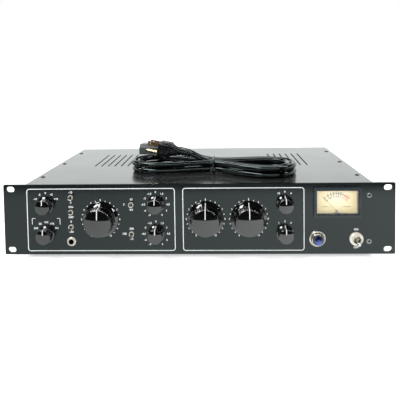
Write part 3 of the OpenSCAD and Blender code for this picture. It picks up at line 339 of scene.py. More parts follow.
# Each finish: its colour, or the setting that holds it, the range of its roughness, how far its tint drifts
# and at what scale, its grain, and the shader's other sockets.
FINISHES = {
    "panel_paint": dict(
        color="panel_paint", rough=(0.09, 0.13), drift=0.05, scale=12.0, grain=0.03, grain_scale=1400.0,
        Specular_IOR_Level=0.8, Specular_Tint=(0.90, 1.0, 1.0, 1.0),
    ),
    "case_paint": dict(
        color="case_paint", rough=(0.16, 0.22), drift=0.05, scale=9.0, grain=0.04, grain_scale=1200.0,
        Coat_Weight=0.85, Coat_Roughness=0.17, Coat_IOR=1.5, Specular_Tint=(0.95, 1.0, 0.98, 1.0),
    ),
    "print_ink": dict(color="print_ink", rough=(0.5, 0.6), drift=0.06, scale=300.0),
    "pointer_paint": dict(color="pointer_white", rough=(0.42, 0.5), drift=0.03, scale=300.0),
    "knob_phenolic": dict(
        color="knob_black", rough=(0.05, 0.09), drift=0.15, scale=160.0,
        IOR=1.6, Coat_Weight=1.0, Coat_Roughness=0.04, Coat_IOR=2.0,
    ),
    "toggle_black": dict(
        color=(0.004, 0.004, 0.0045), rough=(0.06, 0.1), drift=0.1, scale=200.0, IOR=1.7, Coat_Weight=1.0,
    ),
    "black_plastic": dict(
        color=(0.014, 0.0142, 0.015), rough=(0.34, 0.46), drift=0.12, scale=120.0, grain=0.12,
        grain_scale=1600.0,
    ),
    "chrome": dict(color=(0.80, 0.785, 0.755), rough=(0.05, 0.12), drift=0.03, scale=120.0, Metallic=1.0),
    "nickel": dict(color=(0.90, 0.86, 0.78), rough=(0.20, 0.30), drift=0.04, scale=150.0, Metallic=1.0),
    "bushing": dict(
        color=(0.93, 0.89, 0.79), rough=(0.32, 0.42), drift=0.04, scale=150.0,
        Metallic=0.45, Specular_IOR_Level=0.9,
    ),
    "plated_steel": dict(
        color=(0.42, 0.42, 0.41), rough=(0.28, 0.42), drift=0.08, scale=90.0, grain=0.05, Metallic=1.0,
    ),
    "black_screw": dict(
        color=(0.022, 0.022, 0.024), rough=(0.28, 0.38), drift=0.1, scale=200.0, grain=0.05,
        grain_scale=2500.0, Metallic=0.6,
    ),
    "foot_rubber": dict(
        color=(0.012, 0.012, 0.012), rough=(0.6, 0.75), drift=0.2, scale=150.0, grain=0.2,
        grain_scale=1500.0,
    ),
    "cord_jacket": dict(
        color="cord_black", rough=(0.04, 0.06), drift=0.15, scale=60.0,
        Specular_IOR_Level=0.65, Specular_Tint=(0.82, 1.0, 1.0, 1.0),
    ),
    "moulding": dict(
        color=(0.0035, 0.0050, 0.0060), rough=(0.22, 0.30), drift=0.1, scale=80.0, grain=0.05,
        grain_scale=1500.0,
    ),
    "connector_grey": dict(
        color=(0.075, 0.088, 0.088), rough=(0.22, 0.30), drift=0.1, scale=90.0, grain=0.05,
        grain_scale=1500.0, Coat_Weight=0.4,
    ),
    "tie_wire": dict(color=(0.02, 0.021, 0.022), rough=(0.25, 0.35), drift=0.2, scale=250.0),
    "contact_brass": dict(
        color=(0.40, 0.25, 0.12), rough=(0.26, 0.4), drift=0.25, scale=160.0, Metallic=1.0,
    ),
    "pin_brass": dict(color=(0.86, 0.74, 0.48), rough=(0.14, 0.22), drift=0.1, scale=160.0, Metallic=1.0),
    "board": dict(
        color=(0.02, 0.09, 0.035), rough=(0.35, 0.45), drift=0.2, scale=60.0, grain=0.1, grain_scale=700.0,
    ),
    "winding_tape": dict(
        color=(0.5, 0.36, 0.06), rough=(0.3, 0.4), drift=0.2, scale=120.0, grain=0.3, grain_scale=400.0,
    ),
    "tube_glass": dict(
        color=(0.8, 0.83, 0.85), rough=(0.02, 0.05), drift=0.02, scale=30.0,
        Transmission_Weight=0.8, IOR=1.47,
    ),
    "ceramic": dict(color=(0.72, 0.70, 0.64), rough=(0.2, 0.3), drift=0.06, scale=120.0),
    "capacitor_sleeve": dict(color=(0.02, 0.045, 0.14), rough=(0.22, 0.3), drift=0.1, scale=100.0),
    "wafer_board": dict(color=(0.22, 0.11, 0.045), rough=(0.5, 0.6), drift=0.2, scale=150.0, grain=0.1),
    "jewel_glass": dict(
        color="jewel_blue", rough=(0.03, 0.06), drift=0.3, scale=200.0,
        Coat_Weight=1.0, Coat_Roughness=0.02, IOR=1.6,
    ),
    "bezel_plastic": dict(
        color=(0.015, 0.024, 0.029), rough=(0.24, 0.32), drift=0.08, scale=60.0, grain=0.05,
        grain_scale=1500.0, Coat_Weight=0.5,
    ),
    "pane": dict(color=(0.97, 0.98, 0.98), rough=(0.0, 0.02), drift=0.0, scale=20.0, Alpha=0.1),
    # Painted light: the dial card glows faintly, though it is no lamp.
    "dial_card": dict(color="dial_cream", rough=(0.5, 0.6), drift=0.04, scale=25.0, Emission_Strength=0.14),
    "dial_black": dict(color=(0.02, 0.02, 0.022), rough=(0.5, 0.6), drift=0.05, scale=300.0),
    "dial_red": dict(color=(0.70, 0.10, 0.06), rough=(0.5, 0.6), drift=0.05, scale=300.0),
}


def shade(color, factor):
    """Colour with an alpha of 1, made lighter or darker."""
    return tuple(min(1.0, c * factor) for c in color) + (1.0,)


def new_finish(label, color, rough, drift, scale, grain=0.0, grain_scale=900.0, **sockets):
    """Principled material with drifting tint and roughness and a fine grain."""
    if isinstance(color, str):
        color = getattr(settings().finish, color)
    material = bpy.data.materials.new(label)
    material.use_nodes = True
    tree = material.node_tree
    shader = set_values(tree.nodes["Principled BSDF"], **sockets)
    tints = {"Tint_A": shade(color, 1 - drift), "Tint_B": shade(color, 1 + drift)}
    tint = place_group(tree, "Tint drift", Scale=scale, **tints)
    gloss = place_group(tree, "Value drift", Low=rough[0], High=rough[1], Scale=scale * 2)
    wire(tree, (tint, "Color", shader, "Base Color"), (gloss, "Value", shader, "Roughness"))
    if grain:
        skin = place_group(tree, "Skin grain", Scale=grain_scale)
        bump = add_node(tree, "Bump", Strength=grain, Distance=GRAIN_DEPTH)
        wire(tree, (skin, "Height", bump, "Height"), (bump, "Normal", shader, "Normal"))
    return material


def finish(name):
    """The material of a finish, made at its first use."""
    label = name + "_finish"
    return bpy.data.materials.get(label) or new_finish(label, **FINISHES[name])


def pool(name, inner, outer, place, half, sockets):
    """Lets a pool of painted light and shade, at a place and with half sizes in millimetres, feed a finish's
    colour sockets.
    """
    tree = finish(name).node_tree
    node = place_group(
        tree, "Colour pool", Inner=shade(inner, 1), Outer=shade(outer, 1), X=place[0] * MM, Z=place[1] * MM,
        Wide=half[0] * MM, High=half[1] * MM,
    )
    wire(tree, *((node, "Color", tree.nodes["Principled BSDF"], socket) for socket in sockets))


def dress(name, *nodes):
    """Gives CAD nodes a finish."""
    for node in nodes:
        slots = NODES[node].data.materials
        slots.clear()
        slots.append(finish(name))


# Shapes

MERGE_DISTANCE = 1e-6
AXIS_RADIUS = 1e-3
FACE_MIDDLE = 1e-4
FLUTE_POWER = 1.5
SMALL_SIDES = 32
LETTER_WEIGHT = 0.035


def grid_faces(rows, columns, wrap):
    """Quads of a grid of points, row by row; wrap joins the last column to the first."""
    spans = columns if wrap else columns - 1
    row, column = np.meshgrid(np.arange(rows - 1), np.arange(spans), indexing="ij")
    after = (column + 1) % columns
    a = row * columns + column
    b = row * columns + after
    return np.stack([a, b, b + columns, a + columns], -1).reshape(-1, 4)


def join(shapes):
    """One vertex and face list from several shapes."""
    verts, faces, count = [], [], 0
    for points, quads in shapes:
        verts.append(np.asarray(points, float).reshape(-1, 3))
        faces.extend((np.asarray(quads) + count).tolist())
        count += len(verts[-1])
    return np.concatenate(verts), faces


def make_piece(name, shape, look, body=ROOT, smooth=35.0, outward=True):
    """Mesh piece in millimetres on a body; closed shapes get outward normals and sharp edges by angle."""
    verts, faces = shape
    points = np.asarray(verts).reshape(-1, 3) * MM
    mesh = bpy.data.meshes.new(name)
    mesh.from_pydata(points.tolist(), [], np.asarray(faces, dtype=object).tolist())
    work = bmesh.new()
    work.from_mesh(mesh)
    bmesh.ops.remove_doubles(work, verts=work.verts, dist=MERGE_DISTANCE)
    if outward:
        bmesh.ops.recalc_face_normals(work, faces=work.faces)
    work.to_mesh(mesh)
    work.free()
    mesh.shade_smooth()
    mesh.set_sharp_from_angle(angle=math.radians(smooth))
    mesh.materials.append(finish(look))
    piece = bpy.data.objects.new(name, mesh)
    bpy.context.scene.collection.objects.link(piece)
    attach(piece, body)
    return piece


def on_panel(points, x, z):
    """From right, up and out of the panel to the frame, at a place on the panel's front."""
    points = np.asarray(points, float)
    return np.stack([x + points[..., 0], PANEL_FRONT - points[..., 2], z + points[..., 1]], -1)


def turned(profile, sides, flutes=0, depth=0.0):
    """Surface of revolution: each row (radius, height, share of flute) is carried round the axis.

    The radius is drawn in by the flute depth times a rounded wave of the angle, raised where the share is 1.
    """
    profile = np.asarray([tuple(p) + (0.0,) * (3 - len(p)) for p in profile], float)
    angle = np.linspace(0, 2 * np.pi, sides, endpoint=False)
    wave = 0.5 - 0.5 * np.cos(angle * flutes) if flutes else np.zeros(sides)
    radius = profile[:, :1] - depth * profile[:, 2:3] * wave[None, :] ** FLUTE_POWER
    height = profile[:, 1:2] + np.zeros(sides)
    points = np.stack([radius * np.sin(angle), radius * np.cos(angle), height], -1)
    return points, grid_faces(len(profile), sides, True)


def rounded_corner(r_out, h_top, radius, steps):
    """Quarter round from a wall at r_out up to a top at h_top."""
    a = np.linspace(0, np.pi / 2, steps)
    return [(r_out - radius + radius * np.cos(t), h_top - radius + radius * np.sin(t)) for t in a]


def dome(r, h, rise, rows):
    """Face that rises to its middle as a shallow parabola."""
    q = np.linspace(1, 0, rows)
    return [(r * s + FACE_MIDDLE, h + rise * (1 - s * s)) for s in q]


def ribbon(path, width, closed=False):
    """Flat strip in the plane: a path of points widened by half the width to each side."""
    path = np.asarray(path, float)
    ahead = np.roll(path, -1, 0) - np.roll(path, 1, 0)
    if not closed:
        ahead[0] = path[1] - path[0]
        ahead[-1] = path[-1] - path[-2]
    ahead /= np.linalg.norm(ahead, axis=1, keepdims=True)
    side = np.stack([-ahead[:, 1], ahead[:, 0]], 1) * width / 2
    points = np.stack([path + side, path - side], 0)
    flat = np.concatenate([points, np.zeros(points.shape[:2] + (1,))], -1)
    return flat, grid_faces(2, len(path), closed)


def round_rect(x0, x1, z0, z1, r, steps=8):
    """Points round a rectangle with round corners, each side in between left straight."""
    quarter = np.linspace(0, np.pi / 2, steps)
    corners = []
    for k, (cx, cz) in enumerate(((x1 - r, z1 - r), (x0 + r, z1 - r), (x0 + r, z0 + r), (x1 - r, z0 + r))):
        a = quarter + k * np.pi / 2
        corners.append(np.stack([cx + r * np.cos(a), cz + r * np.sin(a)], 1))
    return np.concatenate(corners)


def dot(x, z, r, sides=14):
    """Flat printed dot."""
    a = np.linspace(0, 2 * np.pi, sides, endpoint=False)
    return np.stack([x + r * np.cos(a), z + r * np.sin(a), 0 * a], 1), [list(range(sides))]


def way_at(degrees):
    """Direction at an angle from straight up, clockwise."""
    a = math.radians(degrees)
    return np.array([math.sin(a), math.cos(a)])


def lettering(text, size, x, z):
    """Flat generic lettering of numbers, centred at a place, taken from a text curve as a mesh."""
    curve = bpy.data.curves.new("lettering", "FONT")
    curve.body = text
    curve.size = size
    curve.align_x = "CENTER"
    curve.align_y = "CENTER"
    curve.offset = size * LETTER_WEIGHT
    curve.resolution_u = 2
    holder = bpy.data.objects.new("lettering", curve)
    bpy.context.scene.collection.objects.link(holder)
    mesh = bpy.data.meshes.new_from_object(holder.evaluated_get(bpy.context.evaluated_depsgraph_get()))
    verts = np.empty(len(mesh.vertices) * 3)
    mesh.vertices.foreach_get("co", verts)
    faces = [list(p.vertices) for p in mesh.polygons]
    bpy.data.objects.remove(holder)
    bpy.data.curves.remove(curve)
    bpy.data.meshes.remove(mesh)
    return verts.reshape(-1, 3) + np.array([x, z, 0.0]), faces


def print_piece(name, shapes, lift, place, look):
    """Flat printed shapes in one piece, lifted off the panel's front and centred at a place on it."""
    verts, faces = join(shapes)
    verts = verts + np.array([0.0, 0.0, lift])
    make_piece(name, (on_panel(verts, *place), faces), look, outward=False)


# Stage

SENSOR_WIDTH = 36.0
NEAR_CLIP = 0.01
# Yaw, pitch and roll of the camera in degrees, and its place in metres.
CAMERA_TURN = (-2.04, 3.30, -0.81)
CAMERA_PLACE = (0.0283, -0.6463, 0.18405)
FLOOR_HALF = 6.0
FLOOR_WHITE = (0.9, 0.9, 0.9, 1.0)
FLOOR_GLOW = 0.5
MIRROR_WHITE = (0.95, 1.0, 0.98, 1.0)
EDGE_BLUR = 0.006
PAST_EDGE = 0.02
# Where the mirrored table starts to lighten and where it is white, and how light it is at each end.
TABLE_FALL = dict(From_Min=-0.2, From_Max=0.3, To_Min=0.64, To_Max=1.0)
# White parts of the mirrored backdrop: start and end of a smooth step along each direction.
WHITE_BANDS = (
    (("Y", 0.0, 0.25), ("Z", 0.46, 0.30)),
    (("Y", -0.5, -0.25), ("Z", 0.35, 0.15)),
)
MIRROR_DARK = 0.015
WORLD_LIGHT = 0.55
# Each lamp: its name, its power over the key's, its sides, its place and what it points at, in metres.
LAMPS = (
    ("key", 1.0, (0.9, 0.4), (-0.72, -0.33, 1.12), (0.0, 0.0, 0.0)),
    ("fill", 0.65, (2.2, 0.1), (0.05, -1.1, 0.55), (0.05, 0.0, 0.0)),
    ("bank", 2.0, (3.6, 0.13), (0.05, 0.42, 1.3), (0.05, 0.1, 0.0)),
)


class RACK_OT_stage(bpy.types.Operator):
    """Makes the camera, the white floor, the world and the lamps"""

    bl_idname = "rack.stage"
    bl_label = "Stage"

    def execute(self, context):
        stage = settings().stage
        self.camera(context, stage)
        self.floor(context, stage)
        self.world(context)
        self.lamps(context, stage)
        context.scene.view_settings.view_transform = "Standard"
        return {"FINISHED"}

    def camera(self, context, stage):
        """Camera in front of the panel, right of its middle, looking down a little, with a shifted frame."""
        data = bpy.data.cameras.new("camera")
        data.lens = stage.lens
        data.sensor_width = SENSOR_WIDTH
        data.shift_y = stage.shift
        data.clip_start = NEAR_CLIP
        camera = bpy.data.objects.new("camera", data)
        context.scene.collection.objects.link(camera)
        yaw, pitch, roll = (math.radians(a) for a in CAMERA_TURN)
        turn = Matrix.Rotation(-yaw, 4, "Z") @ Matrix.Rotation(math.pi / 2 - pitch, 4, "X")
        camera.matrix_world = Matrix.Translation(CAMERA_PLACE) @ turn @ Matrix.Rotation(roll, 4, "Z")
        context.scene.camera = camera

    def floor(self, context, stage):
        """White table that keeps the shadow; mirrors see it up to its front edge, darker to the left."""
        low = CAD_BOX[0][2]
        half = FLOOR_HALF
        corners = [(-half, -half, low), (half, -half, low), (half, half, low), (-half, half, low)]
        mesh = bpy.data.meshes.new("floor")
        mesh.from_pydata(corners, [], [(0, 1, 2, 3)])
        floor = bpy.data.objects.new("floor", mesh)
        context.scene.collection.objects.link(floor)
        material = bpy.data.materials.new("floor")
        material.use_nodes = True
        material.cycles.emission_sampling = "NONE"
        mesh.materials.append(material)
        tree = material.node_tree
        tree.nodes.clear()
        out = add_node(tree, "OutputMaterial")
        path = add_node(tree, "LightPath")
        ground = add_node(tree, "BsdfDiffuse", Color=FLOOR_WHITE)
        glow = add_node(tree, "Emission", Strength=FLOOR_GLOW)
        lit = add_node(tree, "AddShader")
        seen = add_node(tree, "Emission", Color=MIRROR_WHITE)
        place = add_node(tree, "TexCoord")
        axes = add_node(tree, "SeparateXYZ")
        near, far = stage.table_edge - EDGE_BLUR, stage.table_edge + EDGE_BLUR
        edge = add_node(tree, "MapRange", From_Min=near, From_Max=far, To_Min=PAST_EDGE)
        fall = add_node(tree, "MapRange", **TABLE_FALL)
        choose = add_node(tree, "MixShader")
        wire(
            tree,
            (place, "Object", axes, "Vector"),
            (axes, "X", fall, "Value"),
            (fall, "Result", edge, "To Max"),
            (axes, "Y", edge, "Value"),
            (edge, "Result", seen, "Strength"),
            (ground, "BSDF", lit, 0),
            (glow, "Emission", lit, 1),
            (path, "Is Glossy Ray", choose, "Fac"),
            (lit, "Shader", choose, 1),
            (seen, "Emission", choose, 2),
            (choose, "Shader", out, "Surface"),
        )

    def world(self, context):
        """White backdrop for the camera; mirrors see it white behind and beside the unit, dark elsewhere."""
        world = bpy.data.worlds.new("studio")
        world.cycles.sampling_method = "NONE"
        context.scene.world = world
        world.use_nodes = True
        tree = world.node_tree
        tree.nodes.clear()
        out = add_node(tree, "OutputWorld")
        path = add_node(tree, "LightPath")
        place = add_node(tree, "TexCoord")
        axes = add_node(tree, "SeparateXYZ")
        both = add_node(tree, "Math", operation="MAXIMUM")
        for row, steps in enumerate(WHITE_BANDS):
            band = add_node(tree, "Math", operation="MULTIPLY")
            for k, (axis, start, end) in enumerate(steps):
                step = add_node(tree, "MapRange", From_Min=start, From_Max=end)
                step.interpolation_type = "SMOOTHSTEP"
                wire(tree, (axes, axis, step, "Value"), (step, "Result", band, k))
            wire(tree, (band, 0, both, row))
        mirrored = add_node(tree, "MapRange", To_Min=MIRROR_DARK)
        in_mirror = add_node(tree, "Background", Color=MIRROR_WHITE)
        plain = add_node(tree, "Background", Color=WHITE, Strength=WORLD_LIGHT)
        seen = add_node(tree, "Background", Color=WHITE, Strength=1.0)
        glossy = add_node(tree, "MixShader")
        clear = add_node(tree, "Math", operation="MAXIMUM")
        final = add_node(tree, "MixShader")
        wire(
            tree,
            (place, "Generated", axes, "Vector"),
            (both, 0, mirrored, "Value"),
            (mirrored, "Result", in_mirror, "Strength"),
            (path, "Is Glossy Ray", glossy, "Fac"),
            (plain, "Background", glossy, 1),
            (in_mirror, "Background", glossy, 2),
            (path, "Is Camera Ray", clear, 0),
            (path, "Is Transmission Ray", clear, 1),
            (clear, 0, final, "Fac"),
            (glossy, "Shader", final, 1),
            (seen, "Background", final, 2),
            (final, "Shader", out, "Surface"),
        )

    def lamps(self, context, stage):
        """Soft key from the upper left, a long thin fill in front and a long light bank over the cover."""
        for name, power, sides, place, aim in LAMPS:
            data = bpy.data.lights.new(name, "AREA")
            data.energy = stage.key_power * power
            data.shape = "RECTANGLE"
            data.size, data.size_y = sides
            lamp = bpy.data.objects.new(name, data)
            context.scene.collection.objects.link(lamp)
            turn = (Vector(place) - Vector(aim)).to_track_quat("Z", "Y")
            lamp.matrix_world = Matrix.Translation(place) @ turn.to_matrix().to_4x4()


# Lead

# Shares of the left half turn in which a loop changes its column, drops a layer and rises a layer.
COLUMN_CHANGE = (0.4, 0.64)
LAYER_DROP = (0.64, 0.9)
LAYER_RISE = (0.14, 0.4)
ANGLE_STEP = 0.009
POINTS_PER_LOOP = 96
# Ends of the lead and the points on their way into the hank, in the hank's own frame.
PLUG_END = (-33, -1, 23)
PLUG_TILT = 10
PLUG_ROUTE = [(-26.1, -1.3, 21.1), (-20.1, -2.1, 18.5), (-14.2, -3, 16), (-7.5, -3.7, 14)]
CONNECTOR_END = (-67, 36, 23.9)
CONNECTOR_ROUTE = [
    (-55.7, 34.7, 23.3), (-46.3, 31.5, 21.9), (-38.1, 26.9, 19.9), (-29.6, 21.5, 17.5), (-21.5, 16.9, 15.5),
    (-12.2, 13.9, 14.4),
]
PLUG_RELIEF = 15.0
PLUG_BODY = 30.5
PLUG_HEAD = 17.0
# Sections of the plug's head: distance from its face or from its neck, half width, half height and power.
HEAD_FACE = [(0.0, 0.01, 0.01, 5), (0.0, 11.6, 9.2, 6), (0.7, 12.2, 9.7, 6), (1.8, 12.5, 10.0, 6)]
HEAD_BACK = [(1.5, 12.5, 10.0, 6), (0.3, 12.0, 9.6, 5)]
NECK_RADIUS = 5.2
NECK_FLARE = (6.2, 3.9)
NECK_POWER = 2.4
NECK_CURVE = 1.5
NECK_SHARES = np.linspace(0.03, 1, 9)
RIBS = 3.6
RIB_EDGE = 3
RIB_DEPTH = 0.9
RELIEF_WALL = 1.45
RELIEF_TAPER = 0.7
LEAST_WALL = 0.35
RELIEF_PLACES = np.linspace(0.5, PLUG_RELIEF - 0.2, 64)
RELIEF_MOUTH = (0.3, -0.5)
# Half section of the earth pin's sleeve, radius and height, and its place on the plug.
PIN_ROWS = [
    (AXIS_RADIUS, 0.2), (2.43, 0.2), (2.43, 18.2), (2.2, 19.2), (1.6, 19.9), (0.8, 20.1),
    (AXIS_RADIUS, 20.15),
]
PIN_START = -45.5
PIN_DROP = 7.5


def soft_rise(s, soft):
    """Share of the half width at a share s of the reach, drawn in softly at the waist."""
    return (np.sqrt(s * s + soft * soft) - soft) / (math.sqrt(1 + soft * soft) - soft)


def ramp(q, low, high):
    """Smooth step from 0 to 1 between two ends."""
    u = np.clip((q - low) / (high - low), 0, 1)
    return u * u * (3 - 2 * u)


def loop_middle(a, lead):
    """Middle line of the inner loop at angle a: a figure drawn in at the waist, in the hank's own frame."""
    s = np.sin(a)
    reach = np.where(s >= 0, lead.reach_right, lead.reach_left)
    spread = np.where(s >= 0, lead.spread_right, lead.spread_left)
    across = -np.cos(a) * (lead.step / 2 + spread * soft_rise(np.abs(s), lead.waist_soft))
    return np.stack([reach * s, across], -1)


def on_hank(points, lead):
    """From the hank's own frame, with heights over the cover, to the frame of the unit."""
    points = np.asarray(points, float)
    c, s = math.cos(math.radians(lead.turn)), math.sin(math.radians(lead.turn))
    return np.stack(
        [
            lead.middle_x + points[..., 0] * c - points[..., 1] * s,
            lead.middle_y + points[..., 0] * s + points[..., 1] * c,
            COVER_TOP + points[..., 2],
        ],
        -1,
    )


def hank_points(total, lead):
    """Middle line of the hank: loops in two columns and two layers, changing place in the left half turn."""
    turn = np.floor(total / 360.0)
    a = np.radians(total - 360.0 * turn)
    q = (np.degrees(a) - 180.0) / 180.0
    first, second, third = turn == 0, turn == 1, turn == 2
    column = np.select([first, second], [0 * q, ramp(q, *COLUMN_CHANGE)], 1.0)
    layer = np.select(
        [first, second, third], [1 - ramp(q, *LAYER_DROP), 0 * q, ramp(q, *LAYER_RISE)], 1.0
    )
    ahead = loop_middle(a + ANGLE_STEP, lead) - loop_middle(a - ANGLE_STEP, lead)
    out = np.stack([ahead[:, 1], -ahead[:, 0]], 1) / np.linalg.norm(ahead, axis=1, keepdims=True)
    flat = loop_middle(a, lead) + column[:, None] * lead.step * out
    lift = (lead.tie_thickness + lead.rest_gap) * (1 - np.abs(np.sin(a))) ** 2
    height = lead.rest_gap + lead.diameter / 2 + lift + layer * lead.step
    return on_hank(np.concatenate([flat, height[:, None]], 1), lead)


def smooth_path(points, first, last, count=8):
    """Cubic curve through points with given end directions: Hermite spans with central slopes."""
    points = np.asarray(points, float)
    step = np.linalg.norm(np.diff(points, axis=0), axis=1)
    place = np.concatenate([[0], np.cumsum(step)])
    slope = np.gradient(points, place, axis=0)
    slope[0] = first
    slope[-1] = last
    t = np.linspace(0, 1, count, endpoint=False)[None, :, None]
    p0, p1 = points[:-1, None], points[1:, None]
    m0, m1 = (slope[:-1] * step[:, None])[:, None], (slope[1:] * step[:, None])[:, None]
    spans = p0 * (2 * t**3 - 3 * t**2 + 1) + m0 * (t**3 - 2 * t**2 + t)
    spans = spans + p1 * (3 * t**2 - 2 * t**3) + m1 * (t**3 - t**2)
    return np.concatenate([spans.reshape(-1, 3), points[-1:]])


def lead_path(lead):
    """Whole middle line of the lead from its connector through the hank to its plug."""
    ahead = on_hank([(1, 0, 0)], lead)[0] - on_hank([(0, 0, 0)], lead)[0]
    fall = math.radians(PLUG_TILT)
    plug_way = np.array([ahead[0] * math.cos(fall), ahead[1] * math.cos(fall), -math.sin(fall)])
    hank = hank_points(np.linspace(0, 360 * lead.loops, int(POINTS_PER_LOOP * lead.loops) + 1), lead)
    from_connector = np.concatenate([on_hank([CONNECTOR_END] + CONNECTOR_ROUTE, lead), hank[-1:]])
    from_plug = np.concatenate([on_hank([PLUG_END] + PLUG_ROUTE, lead), hank[:1]])
    to_hank = smooth_path(from_connector, ahead, ahead)
    to_plug = smooth_path(from_plug, plug_way, ahead)
    return np.concatenate([to_hank[:-1], hank[::-1], to_plug[::-1][1:]])


def superellipse(half_w, half_h, power, sides=40):
    """Section points of a rounded box: cosine and sine raised to a power below 1."""
    a = np.linspace(0, 2 * np.pi, sides, endpoint=False)
    c, s = np.cos(a), np.sin(a)
    e = 2.0 / power
    return np.stack([half_w * np.sign(c) * np.abs(c) ** e, half_h * np.sign(s) * np.abs(s) ** e], 1)


def loft(sections):
    """Skin over sections (along, half width, half height, power), each a rounded box square to the axis."""
    points = np.stack([np.insert(superellipse(w, h, p), 0, t, axis=1) for t, w, h, p in sections])
    return points, grid_faces(len(sections), points.shape[1], True)


def on_plug(points, lead):
    """Carries a piece of the plug, with its lead along +X from 0, to its tilted place on the hank."""
    points = np.asarray(points, float)
    along, across, up = points[..., 0], points[..., 1], points[..., 2]
    c, s = math.cos(math.radians(PLUG_TILT)), math.sin(math.radians(PLUG_TILT))
    local = np.stack([along * c + up * s, across, up * c - along * s], -1)
    return on_hank(local + np.asarray(PLUG_END, float), lead)


class RACK_OT_lead(bpy.types.Operator):
    """Makes the mains lead, its plug and the finish of its connector and tie"""

    bl_idname = "rack.lead"
    bl_label = "Mains lead"

    def execute(self, context):
        lead = settings().lead
        points = lead_path(lead) * MM
        cord = self.cord(context, lead, points)
        plug = self.plug(lead)
        pin = self.earth_pin(lead)
        dress("contact_brass", "plug_blades")
        dress("connector_grey", "lead_connector")
        dress("tie_wire", "lead_tie")
        return {"FINISHED"}

    def cord(self, context, lead, points):
        """Round curve along the lead's whole middle line."""
        curve = bpy.data.curves.new("mains_lead", "CURVE")
        curve.dimensions = "3D"
        curve.bevel_depth = lead.diameter * MM / 2
        curve.bevel_resolution = 4
        curve.use_fill_caps = True
        spline = curve.splines.new("POLY")
        spline.points.add(len(points) - 1)
        spline.points.foreach_set("co", np.insert(points, 3, 1.0, axis=1).ravel())
        spline.use_smooth = True
        curve.materials.append(finish("cord_jacket"))
        cord = bpy.data.objects.new("mains_lead", curve)
        context.scene.collection.objects.link(cord)
        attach(cord, ROOT)
        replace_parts(cord, "lead_hank", "lead_plug_tail", "lead_connector_tail")
        return cord

    def earth_pin(self, lead):
        """Bright sleeve over the round earth pin, with a rounded tip."""
        points, faces = turned(PIN_ROWS, SMALL_SIDES)
        along = np.stack([PIN_START - points[..., 2], points[..., 0], points[..., 1] - PIN_DROP], -1)
        return make_piece("earth_pin", (on_plug(along, lead), faces), "pin_brass")

    def plug(self, lead):
        """Moulded plug lofted along its axis: a full head, a hollowed taper and a ribbed strain relief."""
        r = lead.diameter / 2
        neck = PLUG_BODY - PLUG_HEAD
        sections = [(t - PLUG_BODY, w, h, p) for t, w, h, p in HEAD_FACE]
        sections += [(-neck - t, w, h, p) for t, w, h, p in HEAD_BACK]
        for t in NECK_SHARES:
            wide, high = (NECK_RADIUS + flare * (1 - t) ** NECK_CURVE for flare in NECK_FLARE)
            sections.append((-neck * (1 - t), wide, high, 2 + NECK_POWER * (1 - t)))
        along = RELIEF_PLACES
        notch = np.clip(np.cos(along / PLUG_RELIEF * 2 * np.pi * RIBS) * RIB_EDGE, -1, 1)
        taper = r + RELIEF_WALL - RELIEF_TAPER * along / PLUG_RELIEF
        radius = np.where(notch > 0, taper, taper - RIB_DEPTH * np.minimum(1, -notch))
        sections += [(t, q, q, 2) for t, q in zip(along, np.maximum(radius, r + LEAST_WALL))]
        sections += [(PLUG_RELIEF, r + wall, r + wall, 2) for wall in RELIEF_MOUTH]
        points, faces = loft(sections)
        points = points - np.array([PLUG_RELIEF, 0, 0])
        shape = on_plug(points, lead), faces
        piece = make_piece("plug_moulding", shape, "moulding")
        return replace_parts(piece, "mains_plug")


# Case, inside and rear


class RACK_OT_case(bpy.types.Operator):
    """Paints the panel, cover, case, feet and screws"""

    bl_idname = "rack.case"
    bl_label = "Case"

    def execute(self, context):
        dress("panel_paint", "front_panel")
        dress("case_paint", "top_cover", "chassis_tray", "rear_panel")
        dress("black_screw", "case_screws")
        dress("plated_steel", "stud_nuts")
        dress("foot_rubber", "feet")
        return {"FINISHED"}


class RACK_OT_inside(bpy.types.Operator):
    """Finishes the board, tubes, transformers and the bodies of the controls behind the panel"""

    bl_idname = "rack.inside"
    bl_label = "Inside"

    def execute(self, context):
        dress("board", "main_board")
        dress("plated_steel", "board_standoffs", "transformer_clamp", "pot_bodies", "control_nuts")
        dress("plated_steel", "meter_movement", "audio_transformers", "opto_cell")
        dress("winding_tape", "mains_transformer")
        dress("tube_glass", "tubes")
        dress("ceramic", "tube_sockets")
        dress("capacitor_sleeve", "filter_capacitors")
        dress("wafer_board", "rotary_switch_bodies")
        dress("black_plastic", "meter_case", "lamp_holder")
        return {"FINISHED"}


class RACK_OT_rear(bpy.types.Operator):
    """Finishes the rear sockets"""

    bl_idname = "rack.rear"
    bl_label = "Rear sockets"

    def execute(self, context):
        dress("black_plastic", "mains_inlet", "fuse_holder", "input_sockets", "output_socket")
        dress("contact_brass", "connector_pins")
        return {"FINISHED"}


# Knobs

FLUTE_DEPTH = 0.75
SIDES_PER_FLUTE = 10
KNOB_SHARP_ANGLE = 40.0
# Half section of a knob's hollow underside: radius and height.
UNDERSIDE = [(FACE_MIDDLE, 6.0), (7.9, 6.0), (7.9, 0.8)]
# A large knob's skirt and fillet: distance in from the skirt's radius, height and share of flute.
SKIRT_ROWS = [
    (0.4, 0.8, 0.0), (0.0, 1.2, 0.0), (0.0, 2.0, 0.0), (0.15, 2.15, 0.0), (1.4, 2.8, 0.0), (2.8, 3.6, 0.0),
    (3.4, 4.3, 0.05), (4.0, 5.05, 0.2), (4.5, 5.8, 0.4), (4.85, 6.6, 0.6), (5.05, 7.6, 0.85),
]
# A small knob's foot: distance in from the foot's radius, or out from the cap's radius, and height.
FOOT_ROWS = [(0.4, 0.8), (0.0, 1.2), (0.0, 2.4), (0.3, 2.8)]
FOOT_FILLET = [(0.3, 3.5), (0.0, 4.0)]
WALL_SHARES = np.linspace(0.02, 1, 8)
WALL_DRAFT = 0.1
